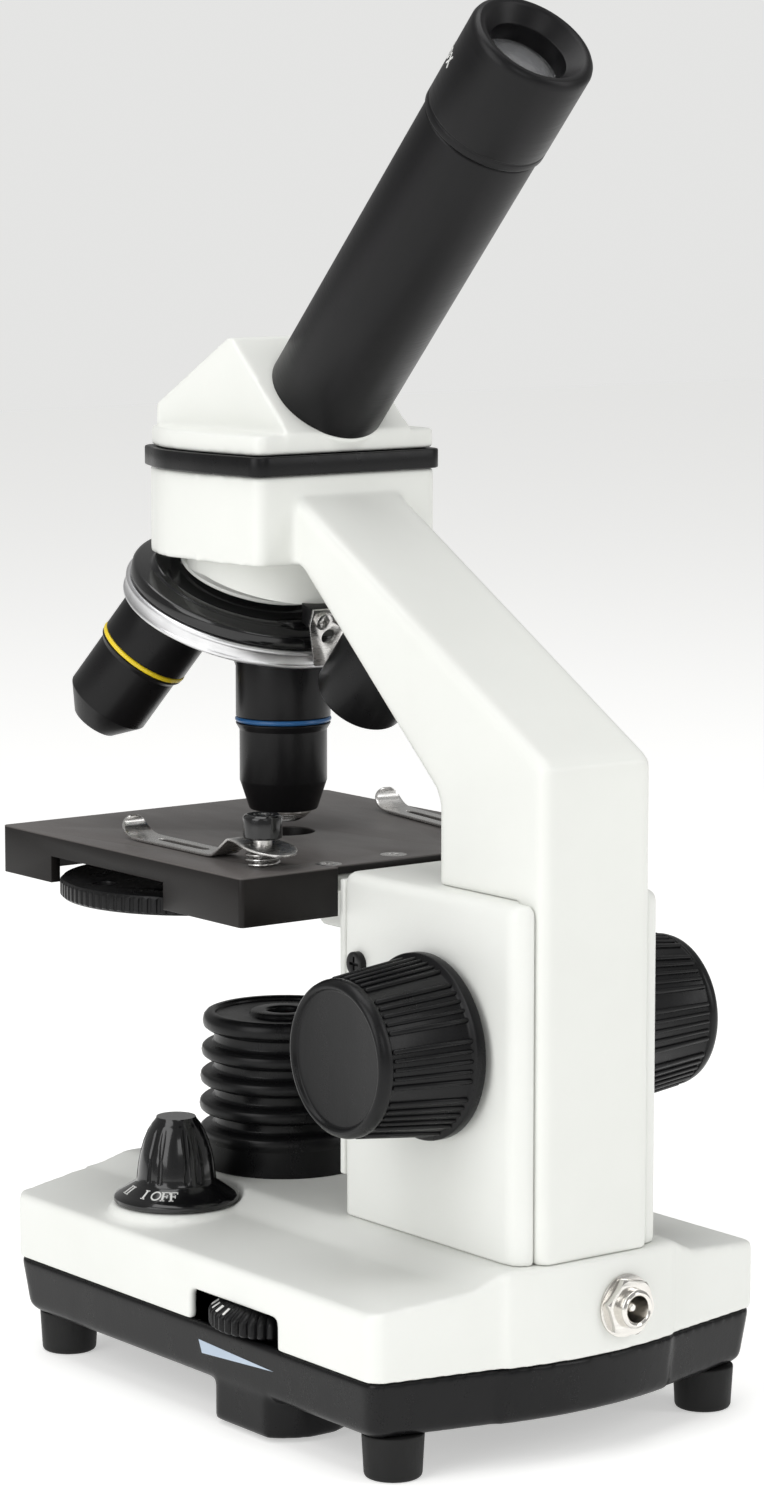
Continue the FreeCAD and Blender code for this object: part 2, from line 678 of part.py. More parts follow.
def make_arm():
    arm = prism_x(sharp(arm_profile()), -arm_half_width, arm_half_width)
    sides = [edge for edge in arm.Edges if edge.BoundBox.XLength < 0.01
             and edge.BoundBox.YMax > 26 and edge.BoundBox.ZMax > housing_top + 1]
    arm = arm.makeFillet(2.4, sides)
    spine = block(-arm_half_width, arm_half_width, housing_back - housing_wall - 3.2, arm_back,
                  deck_z, housing_top)
    corners = [edge for edge in spine.Edges
               if edge.BoundBox.ZLength > 10 and edge.BoundBox.YMin > arm_back - 0.1]
    spine = spine.makeFillet(2.4, corners)
    head = prism_z(block_outline(0), block_bottom, block_top)
    arm = fuse(arm, head, spine)
    channel = prism_x(sharp(inset(arm_profile(), 4.0)), -9.5, 9.5)
    arm = arm.cut(channel)
    arm = arm.cut(block(-9.5, 9.5, arm_front + 4, arm_back - 4, housing_top - 0.5, housing_top + 6))
    arm = arm.cut(rod(spigot_radius + 2.5, 12.0, V(0, 0, block_bottom + 2.5)))
    arm = arm.cut(rod(spigot_radius + 0.4, 10, V(0, 0, block_top - 6)))
    arm = arm.cut(rod(light_path + 0.5, 6, V(0, 0, block_bottom - 1)))
    mount, aim = lamp_place()
    arm = arm.cut(rod(lamp_neck_radius, 12, along(mount, aim, -10), aim))
    keep("arm", arm)

    collar = prism_z(block_outline(1.0), block_top, collar_top)
    keep("head_collar", collar.cut(rod(spigot_radius + running, 10, V(0, 0, block_top - 1))))


def tube_direction():
    lean = math.radians(tube_lean)
    return V(0, math.sin(lean), math.cos(lean))


def on_tube_face(z):
    """How far back the sloping face that carries the tube is at height z."""
    face = tube_direction()
    return tube_foot.y - (z - tube_foot.z) * face.z / face.y


def head_profile():
    """Side view of the rotating head: lip, front slope, ridge and the face that carries the tube."""
    return [(head_front, lip_z - 3), (on_tube_face(lip_z) - 0.4, lip_z - 3), (on_tube_face(lip_z), lip_z),
            (on_tube_face(ridge_z), ridge_z), (on_tube_face(ridge_z) - 1.6, ridge_z),
            (head_front, head_front_z)]


def head_hollow(wall):
    corners = [(head_front, lip_z - 3), (on_tube_face(lip_z - 3), lip_z - 3),
               (on_tube_face(ridge_z), ridge_z), (head_front, head_front_z)]
    return inset(corners, wall)


def make_head():
    lip_bottom = collar_top + 0.15
    lip_top = lip_z - 0.2
    half_width = head_half_width
    wedge = prism_x(sharp(head_profile()), -half_width, half_width)
    lip = prism_z(block_outline(-0.2), lip_bottom, lip_top)
    spigot = rod(spigot_radius, lip_bottom - 192.7, V(0, 0, 192.7))
    body = fuse(lip, wedge, spigot)
    lean = tube_direction()
    hollow = prism_x(sharp(head_hollow(2.5)), -half_width + 2.5, half_width - 2.5)
    boss = rod(tube_radius + 2.1, 30, along(tube_foot, lean, -socket_depth - 2.0), lean)
    body = body.cut(hollow.cut(boss))
    body = body.cut(rod(head_bore, 14.2, V(0, 0, 192)))
    body = body.cut(rod(tube_radius, 20, along(tube_foot, lean, -socket_depth), lean))
    body = body.cut(rod(tube_bore - 1.0, 12, along(tube_foot, lean, -socket_depth - 4), lean))
    keep("prism_housing", body)

    wide = spigot_radius + 1.9
    retainer = lathe([(14.5, 190.0), (wide, 190.0), (wide, 192.7), (14.5, 192.7)])
    keep("head_retainer", retainer)
    glass = [(-9.0, 195.0), (9.0, 195.0), (13.0, 202.0), (6.0, 209.2), (-9.0, 199.6)]
    keep("prism", prism_x(sharp(glass), -8, 8))


def make_eyepiece():
    lean = tube_direction()
    keep("eyepiece_tube", tube(tube_radius, tube_bore, tube_length + socket_depth,
                               along(tube_foot, lean, -socket_depth), lean))
    cap_start = along(tube_foot, lean, tube_length + 0.15)
    barrel_radius = tube_bore - running
    barrel_start = -30.0
    barrel = lathe([(10.2, barrel_start), (barrel_radius, barrel_start), (barrel_radius, 2.5), (10.2, 2.5),
                    (10.2, -12.0), (8.0, -12.2), (8.0, -13.0), (10.2, -13.2)], cap_start, lean)
    keep("eyepiece_barrel", barrel)
    length = eyepiece_length
    cap = lathe([(10.2, 2.5), (barrel_radius, 2.5), (barrel_radius, 0), (eyepiece_radius - 0.45, 0),
                 (eyepiece_radius, 0.5),
                 (eyepiece_radius, length - 1.6), (12.6, length), (11.6, length), (8.9, length - 3.2),
                 (8.4, length - 3.4), (8.4, length - 10.0), (7.4, length - 10.0), (7.4, length - 12),
                 (10.2, length - 14)], cap_start, lean)
    keep("eyepiece_cap", cap)
    eye = lathe([(0, length - 10.0), (8.4, length - 10.0), (8.4, length - 7.6), (6.0, length - 6.7),
                 (3.0, length - 6.2), (0, length - 6.0)], cap_start, lean)
    field = lathe([(0, -26.6), (4.0, -26.4), (8.0, -25.6), (10.2, -24.8), (10.2, -23.4), (0, -23.4)],
                  cap_start, lean)
    keep("eyepiece_lenses", eye, field)


# ---------------------------------------------------------------- nosepiece
def turret_axis():
    lean = math.radians(turret_lean)
    return V(0, -math.sin(lean), -math.cos(lean))


def objective_direction(position):
    """Position 0 is in use and points straight down; 1 and 2 follow it round the turret."""
    turned = V(0, 0, -1)
    return FreeCAD.Rotation(turret_axis(), 120 * position).multVec(turned)


def make_nosepiece_seat():
    axis = turret_axis()
    lump = rod(19.0, block_bottom - 150, V(0, -3.5, 150))
    cone = lathe([(0, 5), (40, 5), (40, 20), (20.0, 24.0), (16.5, seat_face), (0, seat_face)], apex, axis)
    seat = lump.common(cone)
    seat = seat.cut(rod(light_path + 0.2, 60, V(0, 0, 140)))
    seat = seat.cut(rod(axle_radius, 12, along(apex, axis, seat_face - 3), axis))
    keep("nosepiece_seat", seat)

    axle = lathe([(0, seat_face - 3), (axle_radius, seat_face - 3), (axle_radius, ring_end - 1.2),
                  (axle_head, ring_end - 0.6), (axle_head, ring_end), (0, ring_end)], apex, axis)
    keep("turret_axle", axle.cut(rod(light_path - 0.4, 60, V(0, 0, 140))))

    out = V(0, math.cos(math.radians(turret_lean)), -math.sin(math.radians(turret_lean)))

    def beside(x0, x1, r0, r1, s0, s1):
        """A block in the turret's own directions: across, outwards at the back, and along the axis."""
        base = apex + X * x0 + out * r0 + axis * s0
        wire = Part.makePolygon([base, base + X * (x1 - x0), base + X * (x1 - x0) + out * (r1 - r0),
                                 base + out * (r1 - r0), base])
        return Part.Face(wire).extrude(axis * (s1 - s0))

    lug = beside(-5.5, 5.5, 14.0, plate_reach, 22.6, 26.6).cut(lump)
    for x in detent_screw_x:
        start = apex + X * x + out * (plate_reach - 3.9) + axis * 24.6
        lug = lug.cut(rod(detent_screw_radius, 5, start, out))
    keep("detent_bracket", lug)
    base = apex + out * plate_reach
    corners = [(-5.6, 22.2), (5.6, 22.2), (5.6, 26.0), (1.6, 36.0), (-1.6, 36.0), (-5.6, 26.0)]
    wire = Part.makePolygon([base + X * a + axis * b for a, b in corners + corners[:1]])
    plate = Part.Face(wire).extrude(out * 0.6)
    plate = plate.cut(rod(1.7, 3, apex + out * 28 + axis * 28.8, out))
    for x in detent_screw_x:
        plate = plate.cut(rod(detent_screw_radius, 3, apex + X * x + out * 28 + axis * 24.6, out))
    keep("detent_spring", plate)
    keep("detent_screws", *[screw(1.9, 1.1, detent_screw_radius, 3.4,
                                  apex + X * x + out * (plate_reach + 0.6) + axis * 24.6, out * -1)
                            for x in detent_screw_x])


def make_turret():
    axis = turret_axis()
    bore = axle_radius + running
    core = lathe([(bore, turret_face), (11.6, turret_face), (16.8, 29.5), (26.4, 30.0),
                  (turret_radius, 30.8), (turret_radius, ring_start), (ring_seat, ring_start),
                  (ring_seat, ring_end), (bore, ring_end)], apex, axis)
    boss_radius = objective_radius + 0.5
    ways = [objective_direction(k) for k in range(3)]
    bosses = [rod(boss_radius, seat_length - 33, along(apex, way, 33), way) for way in ways]
    below = lathe([(0, 31.0), (40, 31.0), (40, 60), (0, 60)], apex, axis)
    body = core.fuse([boss.common(below) for boss in bosses])
    head_bay = axle_head + 0.15
    body = body.cut(rod(head_bay, 10, along(apex, axis, ring_end - 1.3), axis))
    body = body.cut(rod(bore, 60, apex, axis))
    for way in ways:
        body = body.cut(rod(light_path, 60, apex, way))
        body = body.cut(rod(thread_radius, 10, along(apex, way, seat_length - 2.6), way))
        body = body.cut(rod(objective_radius + 0.15, 20, along(apex, way, seat_length), way))
    keep("turret_body", body)
    grip = lathe([(ring_seat, ring_start), (grip_radius - 0.5, ring_start), (grip_radius, ring_start + 0.5),
                  (grip_radius, ring_end - 0.5), (grip_radius - 0.5, ring_end), (ring_seat, ring_end)],
                 apex, axis)
    for way in ways:
        grip = grip.cut(rod(boss_radius, 30, along(apex, way, 33), way))
    keep("turret_ring", grip)


def objective(position, band, waist, shoulder, tip, tip_radius, bore):
    """A barrel along its own axis; the sizes are distances from the apex of the turret."""
    low = objective_radius - 0.8
    profile = [(bore, seat_length - 2.6), (thread_radius, seat_length - 2.6), (thread_radius, seat_length),
               (objective_radius, seat_length), (objective_radius, band - 0.55),
               (objective_radius - 0.5, band - 0.55), (objective_radius - 0.5, band + 0.55),
               (objective_radius, band + 0.55), (objective_radius, band + 0.9),
               (low, waist), (low, shoulder), (tip_radius, tip), (bore, tip)]
    return lathe(profile, apex, objective_direction(position))


def colour_band(position, band):
    return lathe([(objective_radius - 0.5, band - 0.55), (objective_radius + 0.2, band - 0.45),
                  (objective_radius + 0.2, band + 0.45), (objective_radius - 0.5, band + 0.55)],
                 apex, objective_direction(position))


def make_objectives():
    nose_bore = 6.3
    bands = (57.3, 55.2, 52.0)
    high = objective(0, bands[0], 60.0, 71.2, 77.4, 7.4, nose_bore)
    keep("objective_40x", high)
    keep("band_40x", colour_band(0, bands[0]))
    nose = lathe([(3.0, 62.0), (nose_bore - running, 62.0), (nose_bore - running, 78.0), (5.2, 79.2),
                  (3.2, 80.0), (0, 80.0), (0, 78.4), (3.0, 78.0)], apex, objective_direction(0))
    keep("objective_nose", nose)
    middle = objective(1, bands[1], 57.6, 70.0, 75.5, 5.4, 4.2)
    keep("objective_10x", middle)
    keep("band_10x", colour_band(1, bands[1]))
    low = objective(2, bands[2], 54.2, 58.0, 61.5, 8.4, 6.0)
    keep("objective_4x", low)
    keep("band_4x", colour_band(2, bands[2]))
    lens_10x = rod(4.2, 1.8, along(apex, objective_direction(1), 72.8), objective_direction(1))
    lens_4x = rod(6.0, 2.2, along(apex, objective_direction(2), 58.4), objective_direction(2))
    keep("objective_lenses", lens_10x, lens_4x)


def make_upper_lamp():
    """Short black barrel on the underside of the arm, aimed at the middle of the stage."""
    mount, aim = lamp_place()
    length = upper_lamp_length
    radius = upper_lamp_radius
    neck = lamp_neck_radius
    body = lathe([(0, -3), (neck, -3), (neck, 0), (radius, 0), (radius, length - 0.7), (radius - 0.6, length),
                  (8.3, length), (7.6, length - 2.0), (7.6, 5.0), (0, 5.0)], mount, aim)
    keep("upper_lamp_housing", body)
    keep("upper_lamp_lens", lathe([(0, length - 4.4), (7.6, length - 4.4), (7.6, length - 3.2),
                                   (4.6, length - 1.9), (0, length - 1.3)], mount, aim))
    keep("led_boards", led_board(V(0, 0, deck_z + 3.0), Z, 13.5),
         led_board(along(mount, aim, 5.0), aim, 7.6))


# ---------------------------------------------------------------- stage
def make_stage():
    width = stage_half_width
    plan = [(-width, stage_front, 1.2), (width, stage_front, 1.2), (width, stage_back, 1.2),
            (-width, stage_back, 1.2)]
    plate = prism_z(plan, skirt_bottom, stage_top)
    skirt = skirt_wall
    plate = plate.cut(block(-width + skirt, width - skirt, stage_front + skirt, stage_back - skirt,
                            skirt_bottom - 1, under))
    rear = housing_half_width + 0.7
    plate = plate.cut(block(-rear, rear, stage_back - skirt - 1, stage_back + 1, skirt_bottom - 1, under))
    plate = plate.cut(block(-rear, rear, housing_front - cover_thickness - 0.6, stage_back + 1,
                            skirt_bottom - 1, stage_top + 1))
    plate = plate.cut(block(width - skirt - 1, width + 1, -25.3, 18.4, skirt_bottom - 1, stage_top - 4.6))
    lens_seat = tube(12.0, light_hole, 4.6, V(0, 0, under - 4.6))
    pivot_boss = rod(5.0, under - disc_top - gap, V(diaphragm_x, diaphragm_y, disc_top + gap))
    plate = fuse(plate, lens_seat, pivot_boss)
    plate = plate.cut(rod(light_hole, 10, V(0, 0, under - 6)))
    plate = plate.cut(rod(stage_screw_radius, 8, V(diaphragm_x, diaphragm_y, under - 7.0)))
    for x, y in screw_places:
        plate = plate.cut(lathe([(0, under - 1), (stage_screw_radius, under - 1),
                                 (stage_screw_radius, stage_top - 1.4), (3.1, stage_top + 0.1),
                                 (0, stage_top + 0.1)], V(x, y, 0)))
    for side in (-1, 1):
        plate = plate.cut(rod(post_screw_radius, 5, V(side * clip_x, clip_y, under - 1)))
    keep("stage_plate", plate)
    keep("condenser_lens", lathe([(0, under - 4.4), (light_hole, under - 4.4), (light_hole, under - 1.6),
                                  (4.6, under - 0.4), (2.4, under + 0.2), (0, under + 0.4)]))


def make_carriage():
    """White bracket under the stage, with a neck through the slot and a slide behind the rails."""
    front = 30.0
    outer = housing_front - cover_thickness - gap - 0.3
    flange = block(-22, 22, front, stage_back - skirt_wall - gap, flange_bottom, under)
    gusset = block(-13, 13, front, outer, gusset_bottom, flange_bottom)
    lower_edge = [edge for edge in gusset.Edges if edge.BoundBox.ZMax < gusset_bottom + 0.1
                  and edge.BoundBox.XLength > 10 and edge.BoundBox.YMax < front + 0.1]
    gusset = gusset.makeFillet(3.0, lower_edge)
    neck = block(-rail_half_gap + gap, rail_half_gap - gap, outer - 1, rail_back + gap, gusset_bottom,
                 carriage_high)
    inner = block(-rail_half_gap + gap, rail_half_gap - gap, housing_front + 2, rail_back + gap,
                  carriage_low + 2, carriage_high)
    slide = block(-carriage_half_width, carriage_half_width, rail_back + gap, carriage_back,
                  carriage_low, carriage_high)
    carriage = fuse(flange, gusset, neck, inner, slide)
    for x, y in screw_places:
        carriage = carriage.cut(rod(stage_screw_radius, 8, V(x, y, under - 3.5)))
    for side in (-1, 1):
        carriage = carriage.cut(rod(post_screw_radius, 6, V(side * clip_x, clip_y, under - 5)))
    keep("stage_bracket", carriage)

    screws = []
    for x, y in screw_places:
        head = lathe([(0, under - 3.4), (stage_screw_radius, under - 3.4),
                      (stage_screw_radius, stage_top - 1.4), (2.95, stage_top - 0.05),
                      (0, stage_top - 0.05)], V(x, y, 0))
        cross = block(x - 1.6, x + 1.6, y - 0.3, y + 0.3, stage_top - 0.9, stage_top)
        cross = cross.fuse(block(x - 0.3, x + 0.3, y - 1.6, y + 1.6, stage_top - 0.9, stage_top))
        screws.append(head.cut(cross))
    pivot = V(diaphragm_x, diaphragm_y, disc_bottom - gap)
    screws.append(fuse(rod(4.0, 1.4, pivot - Z * 1.4), rod(disc_pin_radius, disc_top + gap - pivot.z, pivot),
                       rod(stage_screw_radius, 4.5, V(diaphragm_x, diaphragm_y, disc_top + gap))))
    keep("stage_screws", *screws)


def make_diaphragm():
    """Disc with a notched rim and a ring of six apertures that pass under the light hole."""
    disc = lathe([(disc_pin_radius + running, disc_bottom), (diaphragm_radius - 0.6, disc_bottom),
                  (diaphragm_radius, disc_bottom + 0.6), (diaphragm_radius, disc_top - 0.6),
                  (diaphragm_radius - 0.6, disc_top), (disc_pin_radius + running, disc_top)],
                 V(diaphragm_x, diaphragm_y, 0))
    disc = disc.cut(lathe([(6, disc_bottom - 1), (diaphragm_radius - 2.5, disc_bottom - 1),
                           (diaphragm_radius - 2.5, disc_bottom + 1.6), (6, disc_bottom + 1.6)],
                          V(diaphragm_x, diaphragm_y, 0)))
    ring_radius = math.hypot(diaphragm_x, diaphragm_y)
    first = math.atan2(-diaphragm_y, -diaphragm_x)
    cuts = []
    for k, radius in enumerate((5.5, 4.5, 3.5, 2.6, 1.8, 1.1)):
        turn = first + 2 * math.pi * k / 6
        cuts.append(rod(radius, 8, V(diaphragm_x + ring_radius * math.cos(turn),
                                     diaphragm_y + ring_radius * math.sin(turn), disc_bottom - 1)))
    notch_count = 90
    for k in range(notch_count):
        turn = 2 * math.pi * k / notch_count
        cuts.append(rod(0.55, 6, V(diaphragm_x + (diaphragm_radius + 0.2) * math.cos(turn),
                                   diaphragm_y + (diaphragm_radius + 0.2) * math.sin(turn), disc_bottom - 1)))
    keep("disc_diaphragm", disc.cut(Part.makeCompound(cuts)))


def clip_leaf(side, turned):
    """Sprung strip: a loop round the post, a step down, a slotted flat and a turned-up tip."""
    rise = leaf_z - (stage_top + 0.8)
    line = [(6.5, leaf_z), (-7.0, leaf_z), (-14.5, leaf_z - rise), (-44.0, leaf_z - rise),
            (-50.5, leaf_z - rise + 4.6)]
    upper = [(a, b + leaf_thickness) for a, b in reversed(line)]
    strip = prism_x(sharp(line + upper), -5, 5)
    plan = [(-5.0, 6.5, 4.6), (-5.0, -4.0, 3.0), (-3.6, -14.0, 6.0), (-3.6, -52.0, 3.2), (3.6, -52.0, 3.2),
            (3.6, -14.0, 6.0), (5.0, -4.0, 3.0), (5.0, 6.5, 4.6)]
    strip = strip.common(prism_z(plan, stage_top, leaf_z + 5))
    strip = strip.cut(rod(post_radius + running, 20, V(0, 0, stage_top)))
    slot = [(-1.1, -20, 1.0), (1.1, -20, 1.0), (1.1, -39, 1.0), (-1.1, -39, 1.0)]
    strip = strip.cut(prism_z(slot, stage_top, leaf_z + 2))
    strip = strip.rotated(V(0, 0, 0), Z, turned)
    return strip.translated(V(side * clip_x, clip_y, 0))


def coil_spring(x, y, low, high, radius, wire, turns):
    pitch = (high - low - wire) / turns
    helix = Part.makeHelix(pitch, high - low - wire, radius)
    section = Part.Wire(Part.makeCircle(wire / 2, V(radius, 0, 0), Y))
    spring = Part.Wire(helix.Edges).makePipeShell([section], True, True)
    return spring.translated(V(x, y, low + wire / 2))


def make_clips():
    posts, caps, springs = [], [], []
    cap_low = leaf_z + leaf_thickness + gap
    for side in (-1, 1):
        x = side * clip_x
        posts.append(fuse(rod(post_screw_radius, stage_top - under + 3.0, V(x, clip_y, under - 3.0)),
                          rod(post_radius, cap_low + 3.4 - stage_top, V(x, clip_y, stage_top)),
                          rod(3.6, 1.8, V(x, clip_y, under - 2.4))))
        caps.append(lathe([(post_radius, cap_low), (3.9, cap_low), (4.2, cap_low + 0.3), (4.2, cap_low + 4.6),
                           (3.6, cap_low + 5.2), (2.2, cap_low + 5.2), (1.6, cap_low + 4.7),
                           (0, cap_low + 4.7),
                           (0, cap_low + 3.4), (post_radius, cap_low + 3.4)], V(x, clip_y, 0)))
        springs.append(coil_spring(x, clip_y, stage_top + 0.05, leaf_z - 0.1, 3.4, 0.7, 4))
    keep("clip_posts", *posts)
    keep("clip_caps", *caps)
    keep("clip_springs", *springs)
    keep("clip_leaf_left", clip_leaf(1, 0))
    keep("clip_leaf_right", clip_leaf(-1, right_clip_turn))


# ---------------------------------------------------------------- build and write
def build():
    make_base()
    make_feet()
    make_socket()
    make_electrics()
    make_switch_dial()
    make_brightness_wheel()
    make_lower_lamp()
    make_housing()
    make_pinion_and_rack()
    make_focus_drive()
    make_arm()
    make_head()
    make_eyepiece()
    make_nosepiece_seat()
    make_turret()
    make_objectives()
    make_upper_lamp()
    make_stage()
    make_carriage()
    make_diaphragm()
    make_clips()


build()
os.makedirs("parts", exist_ok=True)
for name, shape in parts.items():
    shape.translated(V(0, -origin_y, 0)).exportStep(f"parts/{name}.step")
    if not shape.isValid():
        print("not valid:", name)
print(len(parts), "nodes")
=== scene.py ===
import bpy
import json
import math
from mathutils import Matrix, Vector


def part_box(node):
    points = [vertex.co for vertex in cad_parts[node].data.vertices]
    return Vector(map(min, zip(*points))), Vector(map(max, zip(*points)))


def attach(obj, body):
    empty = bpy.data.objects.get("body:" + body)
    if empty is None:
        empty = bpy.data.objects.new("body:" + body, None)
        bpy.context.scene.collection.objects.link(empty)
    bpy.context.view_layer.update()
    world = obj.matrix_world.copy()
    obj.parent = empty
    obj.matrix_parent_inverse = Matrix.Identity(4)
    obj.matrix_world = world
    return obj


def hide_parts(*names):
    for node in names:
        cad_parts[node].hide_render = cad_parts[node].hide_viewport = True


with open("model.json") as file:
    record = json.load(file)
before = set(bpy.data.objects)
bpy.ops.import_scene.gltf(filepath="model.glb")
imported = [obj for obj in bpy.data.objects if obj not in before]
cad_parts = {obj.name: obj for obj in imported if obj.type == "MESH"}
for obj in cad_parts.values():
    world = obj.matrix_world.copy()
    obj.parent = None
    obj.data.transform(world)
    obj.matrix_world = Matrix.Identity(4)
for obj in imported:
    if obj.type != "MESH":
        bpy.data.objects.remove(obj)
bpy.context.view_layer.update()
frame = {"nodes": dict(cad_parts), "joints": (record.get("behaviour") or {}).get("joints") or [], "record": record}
nodes = frame["nodes"]
mm = 0.001


def jointPlace(name):  # a joint's place and its axis
    joint = next(j for j in frame["joints"] if j["name"] == name)
    return Vector(joint.get("pos_m", (0, 0, 0))), Vector(joint["axis"]).normalized()


def leaveEdit():
    if bpy.context.object and bpy.context.object.mode != "OBJECT":
        bpy.ops.object.mode_set(mode="OBJECT")


def pickOnly(*objs):
    leaveEdit()
    bpy.ops.object.select_all(action="DESELECT")
    for obj in objs:
        obj.select_set(True)
    bpy.context.view_layer.objects.active = objs[0]


def dropAll():
    leaveEdit()
    bpy.ops.object.select_all(action="DESELECT")


def named(name):
    obj = bpy.context.object
    obj.name = obj.data.name = name
    return obj


def applyModifiers(obj):
    pickOnly(obj)
    for modifier in list(obj.modifiers):
        bpy.ops.object.modifier_apply(modifier=modifier.name)


def addModifier(obj, kind, **settings):
    modifier = obj.modifiers.new(kind.lower(), kind)
    for key, value in settings.items():
        setattr(modifier, key, value)
    return modifier


def softEdges(obj, width, segments=2, angle=32):  # rounds every edge sharper than the angle
    addModifier(obj, "BEVEL", width=width, segments=segments, limit_method="ANGLE",
                angle_limit=math.radians(angle), harden_normals=False, use_clamp_overlap=True)
    applyModifiers(obj)


def smoothBy(obj, angle=34):
    pickOnly(obj)
    bpy.ops.object.shade_smooth_by_angle(angle=math.radians(angle))


def tidyMesh(obj, gap):
    pickOnly(obj)
    bpy.ops.object.mode_set(mode="EDIT")
    bpy.ops.mesh.select_all(action="SELECT")
    bpy.ops.mesh.remove_doubles(threshold=gap)
    bpy.ops.mesh.normals_make_consistent(inside=False)
    bpy.ops.object.mode_set(mode="OBJECT")


def copyOf(node, name):  # a CAD piece copied, with its seams welded
    obj = bpy.data.objects.new(name, nodes[node].data.copy())
    bpy.context.scene.collection.objects.link(obj)
    obj.data.name = name
    tidyMesh(obj, 2e-6)
    return obj


def edged(node, name, width, segments=2, angle=32, flat=1.5):  # a copy with rounded edges
    obj = copyOf(node, name)
    bpy.ops.object.mode_set(mode="EDIT")
    bpy.ops.mesh.select_all(action="SELECT")
    bpy.ops.mesh.dissolve_limited(angle_limit=math.radians(flat))
    bpy.ops.object.mode_set(mode="OBJECT")
    softEdges(obj, width, segments, angle)
    smoothBy(obj, 40)
    return obj


def moulded(node, name, grain, passes, keep=1.0, filler=None):  # a copy with the soft edges of a casting
    obj = copyOf(node, name)
    if filler:
        obj = joined(name, obj, filler)
    addModifier(obj, "REMESH", mode="VOXEL", voxel_size=grain, adaptivity=0.0)
    addModifier(obj, "SMOOTH", factor=0.5, iterations=passes)
    if keep < 1:
        addModifier(obj, "DECIMATE", ratio=keep)
    applyModifiers(obj)
    smoothBy(obj, 50)
    return obj


def place(obj, body, material, slot, *replaced):
    leaveEdit()
    obj.data.materials.clear()
    obj.data.materials.append(material)
    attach(obj, body)
    if replaced:
        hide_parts(*replaced)
    return obj


class Wire:  # a socket that can be added, multiplied and so on
    def __init__(self, paint, socket):
        self.paint = paint
        self.socket = socket

    def sum(self, operation, first, second):
        return self.paint.node("ShaderNodeMath", {"operation": operation}, {0: first, 1: second})

    def __add__(self, other):
        return self.sum("ADD", self, other)

    def __sub__(self, other):
        return self.sum("SUBTRACT", self, other)

    def __mul__(self, other):
        return self.sum("MULTIPLY", self, other)

    def __truediv__(self, other):
        return self.sum("DIVIDE", self, other)

    def __radd__(self, other):
        return self.sum("ADD", other, self)

    def __rsub__(self, other):
        return self.sum("SUBTRACT", other, self)

    def __rmul__(self, other):
        return self.sum("MULTIPLY", other, self)

    def __pow__(self, other):
        return self.sum("POWER", self, other)


class Paint:  # a material being wired up
    def __init__(self, name, **sockets):
        self.material = bpy.data.materials.new(name)
        self.material.use_nodes = True
        self.tree = self.material.node_tree
        self.shader = self.tree.nodes["Principled BSDF"]
        for key, value in sockets.items():
            self.shader.inputs[key.replace("_", " ")].default_value = value

    def node(self, kind, settings=None, inputs=None, output=0):
        made = self.tree.nodes.new(kind)
        for key, value in (settings or {}).items():
            setattr(made, key, value)
        for key, value in (inputs or {}).items():
            if isinstance(value, Wire):
                self.tree.links.new(value.socket, made.inputs[key])
            else:
                made.inputs[key].default_value = value
        return Wire(self, made.outputs[output])

    def feed(self, **sockets):
        for key, wire in sockets.items():
            self.tree.links.new(wire.socket, self.shader.inputs[key.replace("_", " ")])
        return self.material

    def place(self, origin=(0, 0, 0), axis=(0, 0, 1)):
        turn = Vector(axis).rotation_difference(Vector((0, 0, 1)))
        moved = turn @ Vector(origin)
        here = self.node("ShaderNodeTexCoord", output="Object")
        return self.node("ShaderNodeMapping", {}, {"Vector": here, "Location": -moved, "Rotation": turn.to_euler()})

    def noise(self, where, scale, detail=3.0, rough=0.5):
        inputs = {"Vector": where, "Scale": scale, "Detail": detail, "Roughness": rough}
        return self.node("ShaderNodeTexNoise", {}, inputs)

    def stretched(self, where, x, y, z):
        return self.node("ShaderNodeVectorMath", {"operation": "MULTIPLY"}, {0: where, 1: (x, y, z)})

    def mix(self, factor, first, second):
        first, second = ((*c, 1) if isinstance(c, tuple) else c for c in (first, second))
        return self.node("ShaderNodeMix", {"data_type": "RGBA"}, {0: factor, 6: first, 7: second}, output=2)

    def spread(self, value, low, high, first=0.0, last=1.0):
        return self.node("ShaderNodeMapRange", {"clamp": True}, {0: value, 1: low, 2: high, 3: first, 4: last})

    def bump(self, height, strength, distance):
        return self.node("ShaderNodeBump", {}, {"Height": height, "Strength": strength, "Distance": distance})

    def turned(self, where):
        parts = self.node("ShaderNodeSeparateXYZ", {}, {"Vector": where}).socket.node
        x, y, z = (Wire(self, output) for output in parts.outputs)
        radius = (x * x + y * y) ** 0.5
        return x, y, z, radius


def wornPaint(name, colour, shade, rough, grain, depth, tint=(0.9, 0.9, 0.84)):
    paint = Paint(name, Roughness=rough, Specular_IOR_Level=0.5, Coat_Weight=0.12, Coat_Roughness=0.25)
    where = paint.place()
    cloud = paint.noise(where, 28, 4)
    fine = paint.noise(where, grain, 2, 0.6)
    orange = paint.noise(where, grain * 0.28, 2)
    dust = paint.noise(where, 260, 4, 0.7)
    base = paint.mix(paint.spread(cloud, 0.35, 0.7), colour, shade)
    base = paint.mix(paint.spread(dust, 0.66, 0.8) * 0.16, base, tint)
    roughness = rough - 0.06 + 0.12 * paint.spread(cloud, 0.3, 0.7) + 0.06 * paint.spread(fine, 0.3, 0.7)
    normal = paint.bump(fine * 0.6 + orange * 0.7, 0.5, depth)
    return paint.feed(Base_Color=base, Roughness=roughness, Normal=normal)


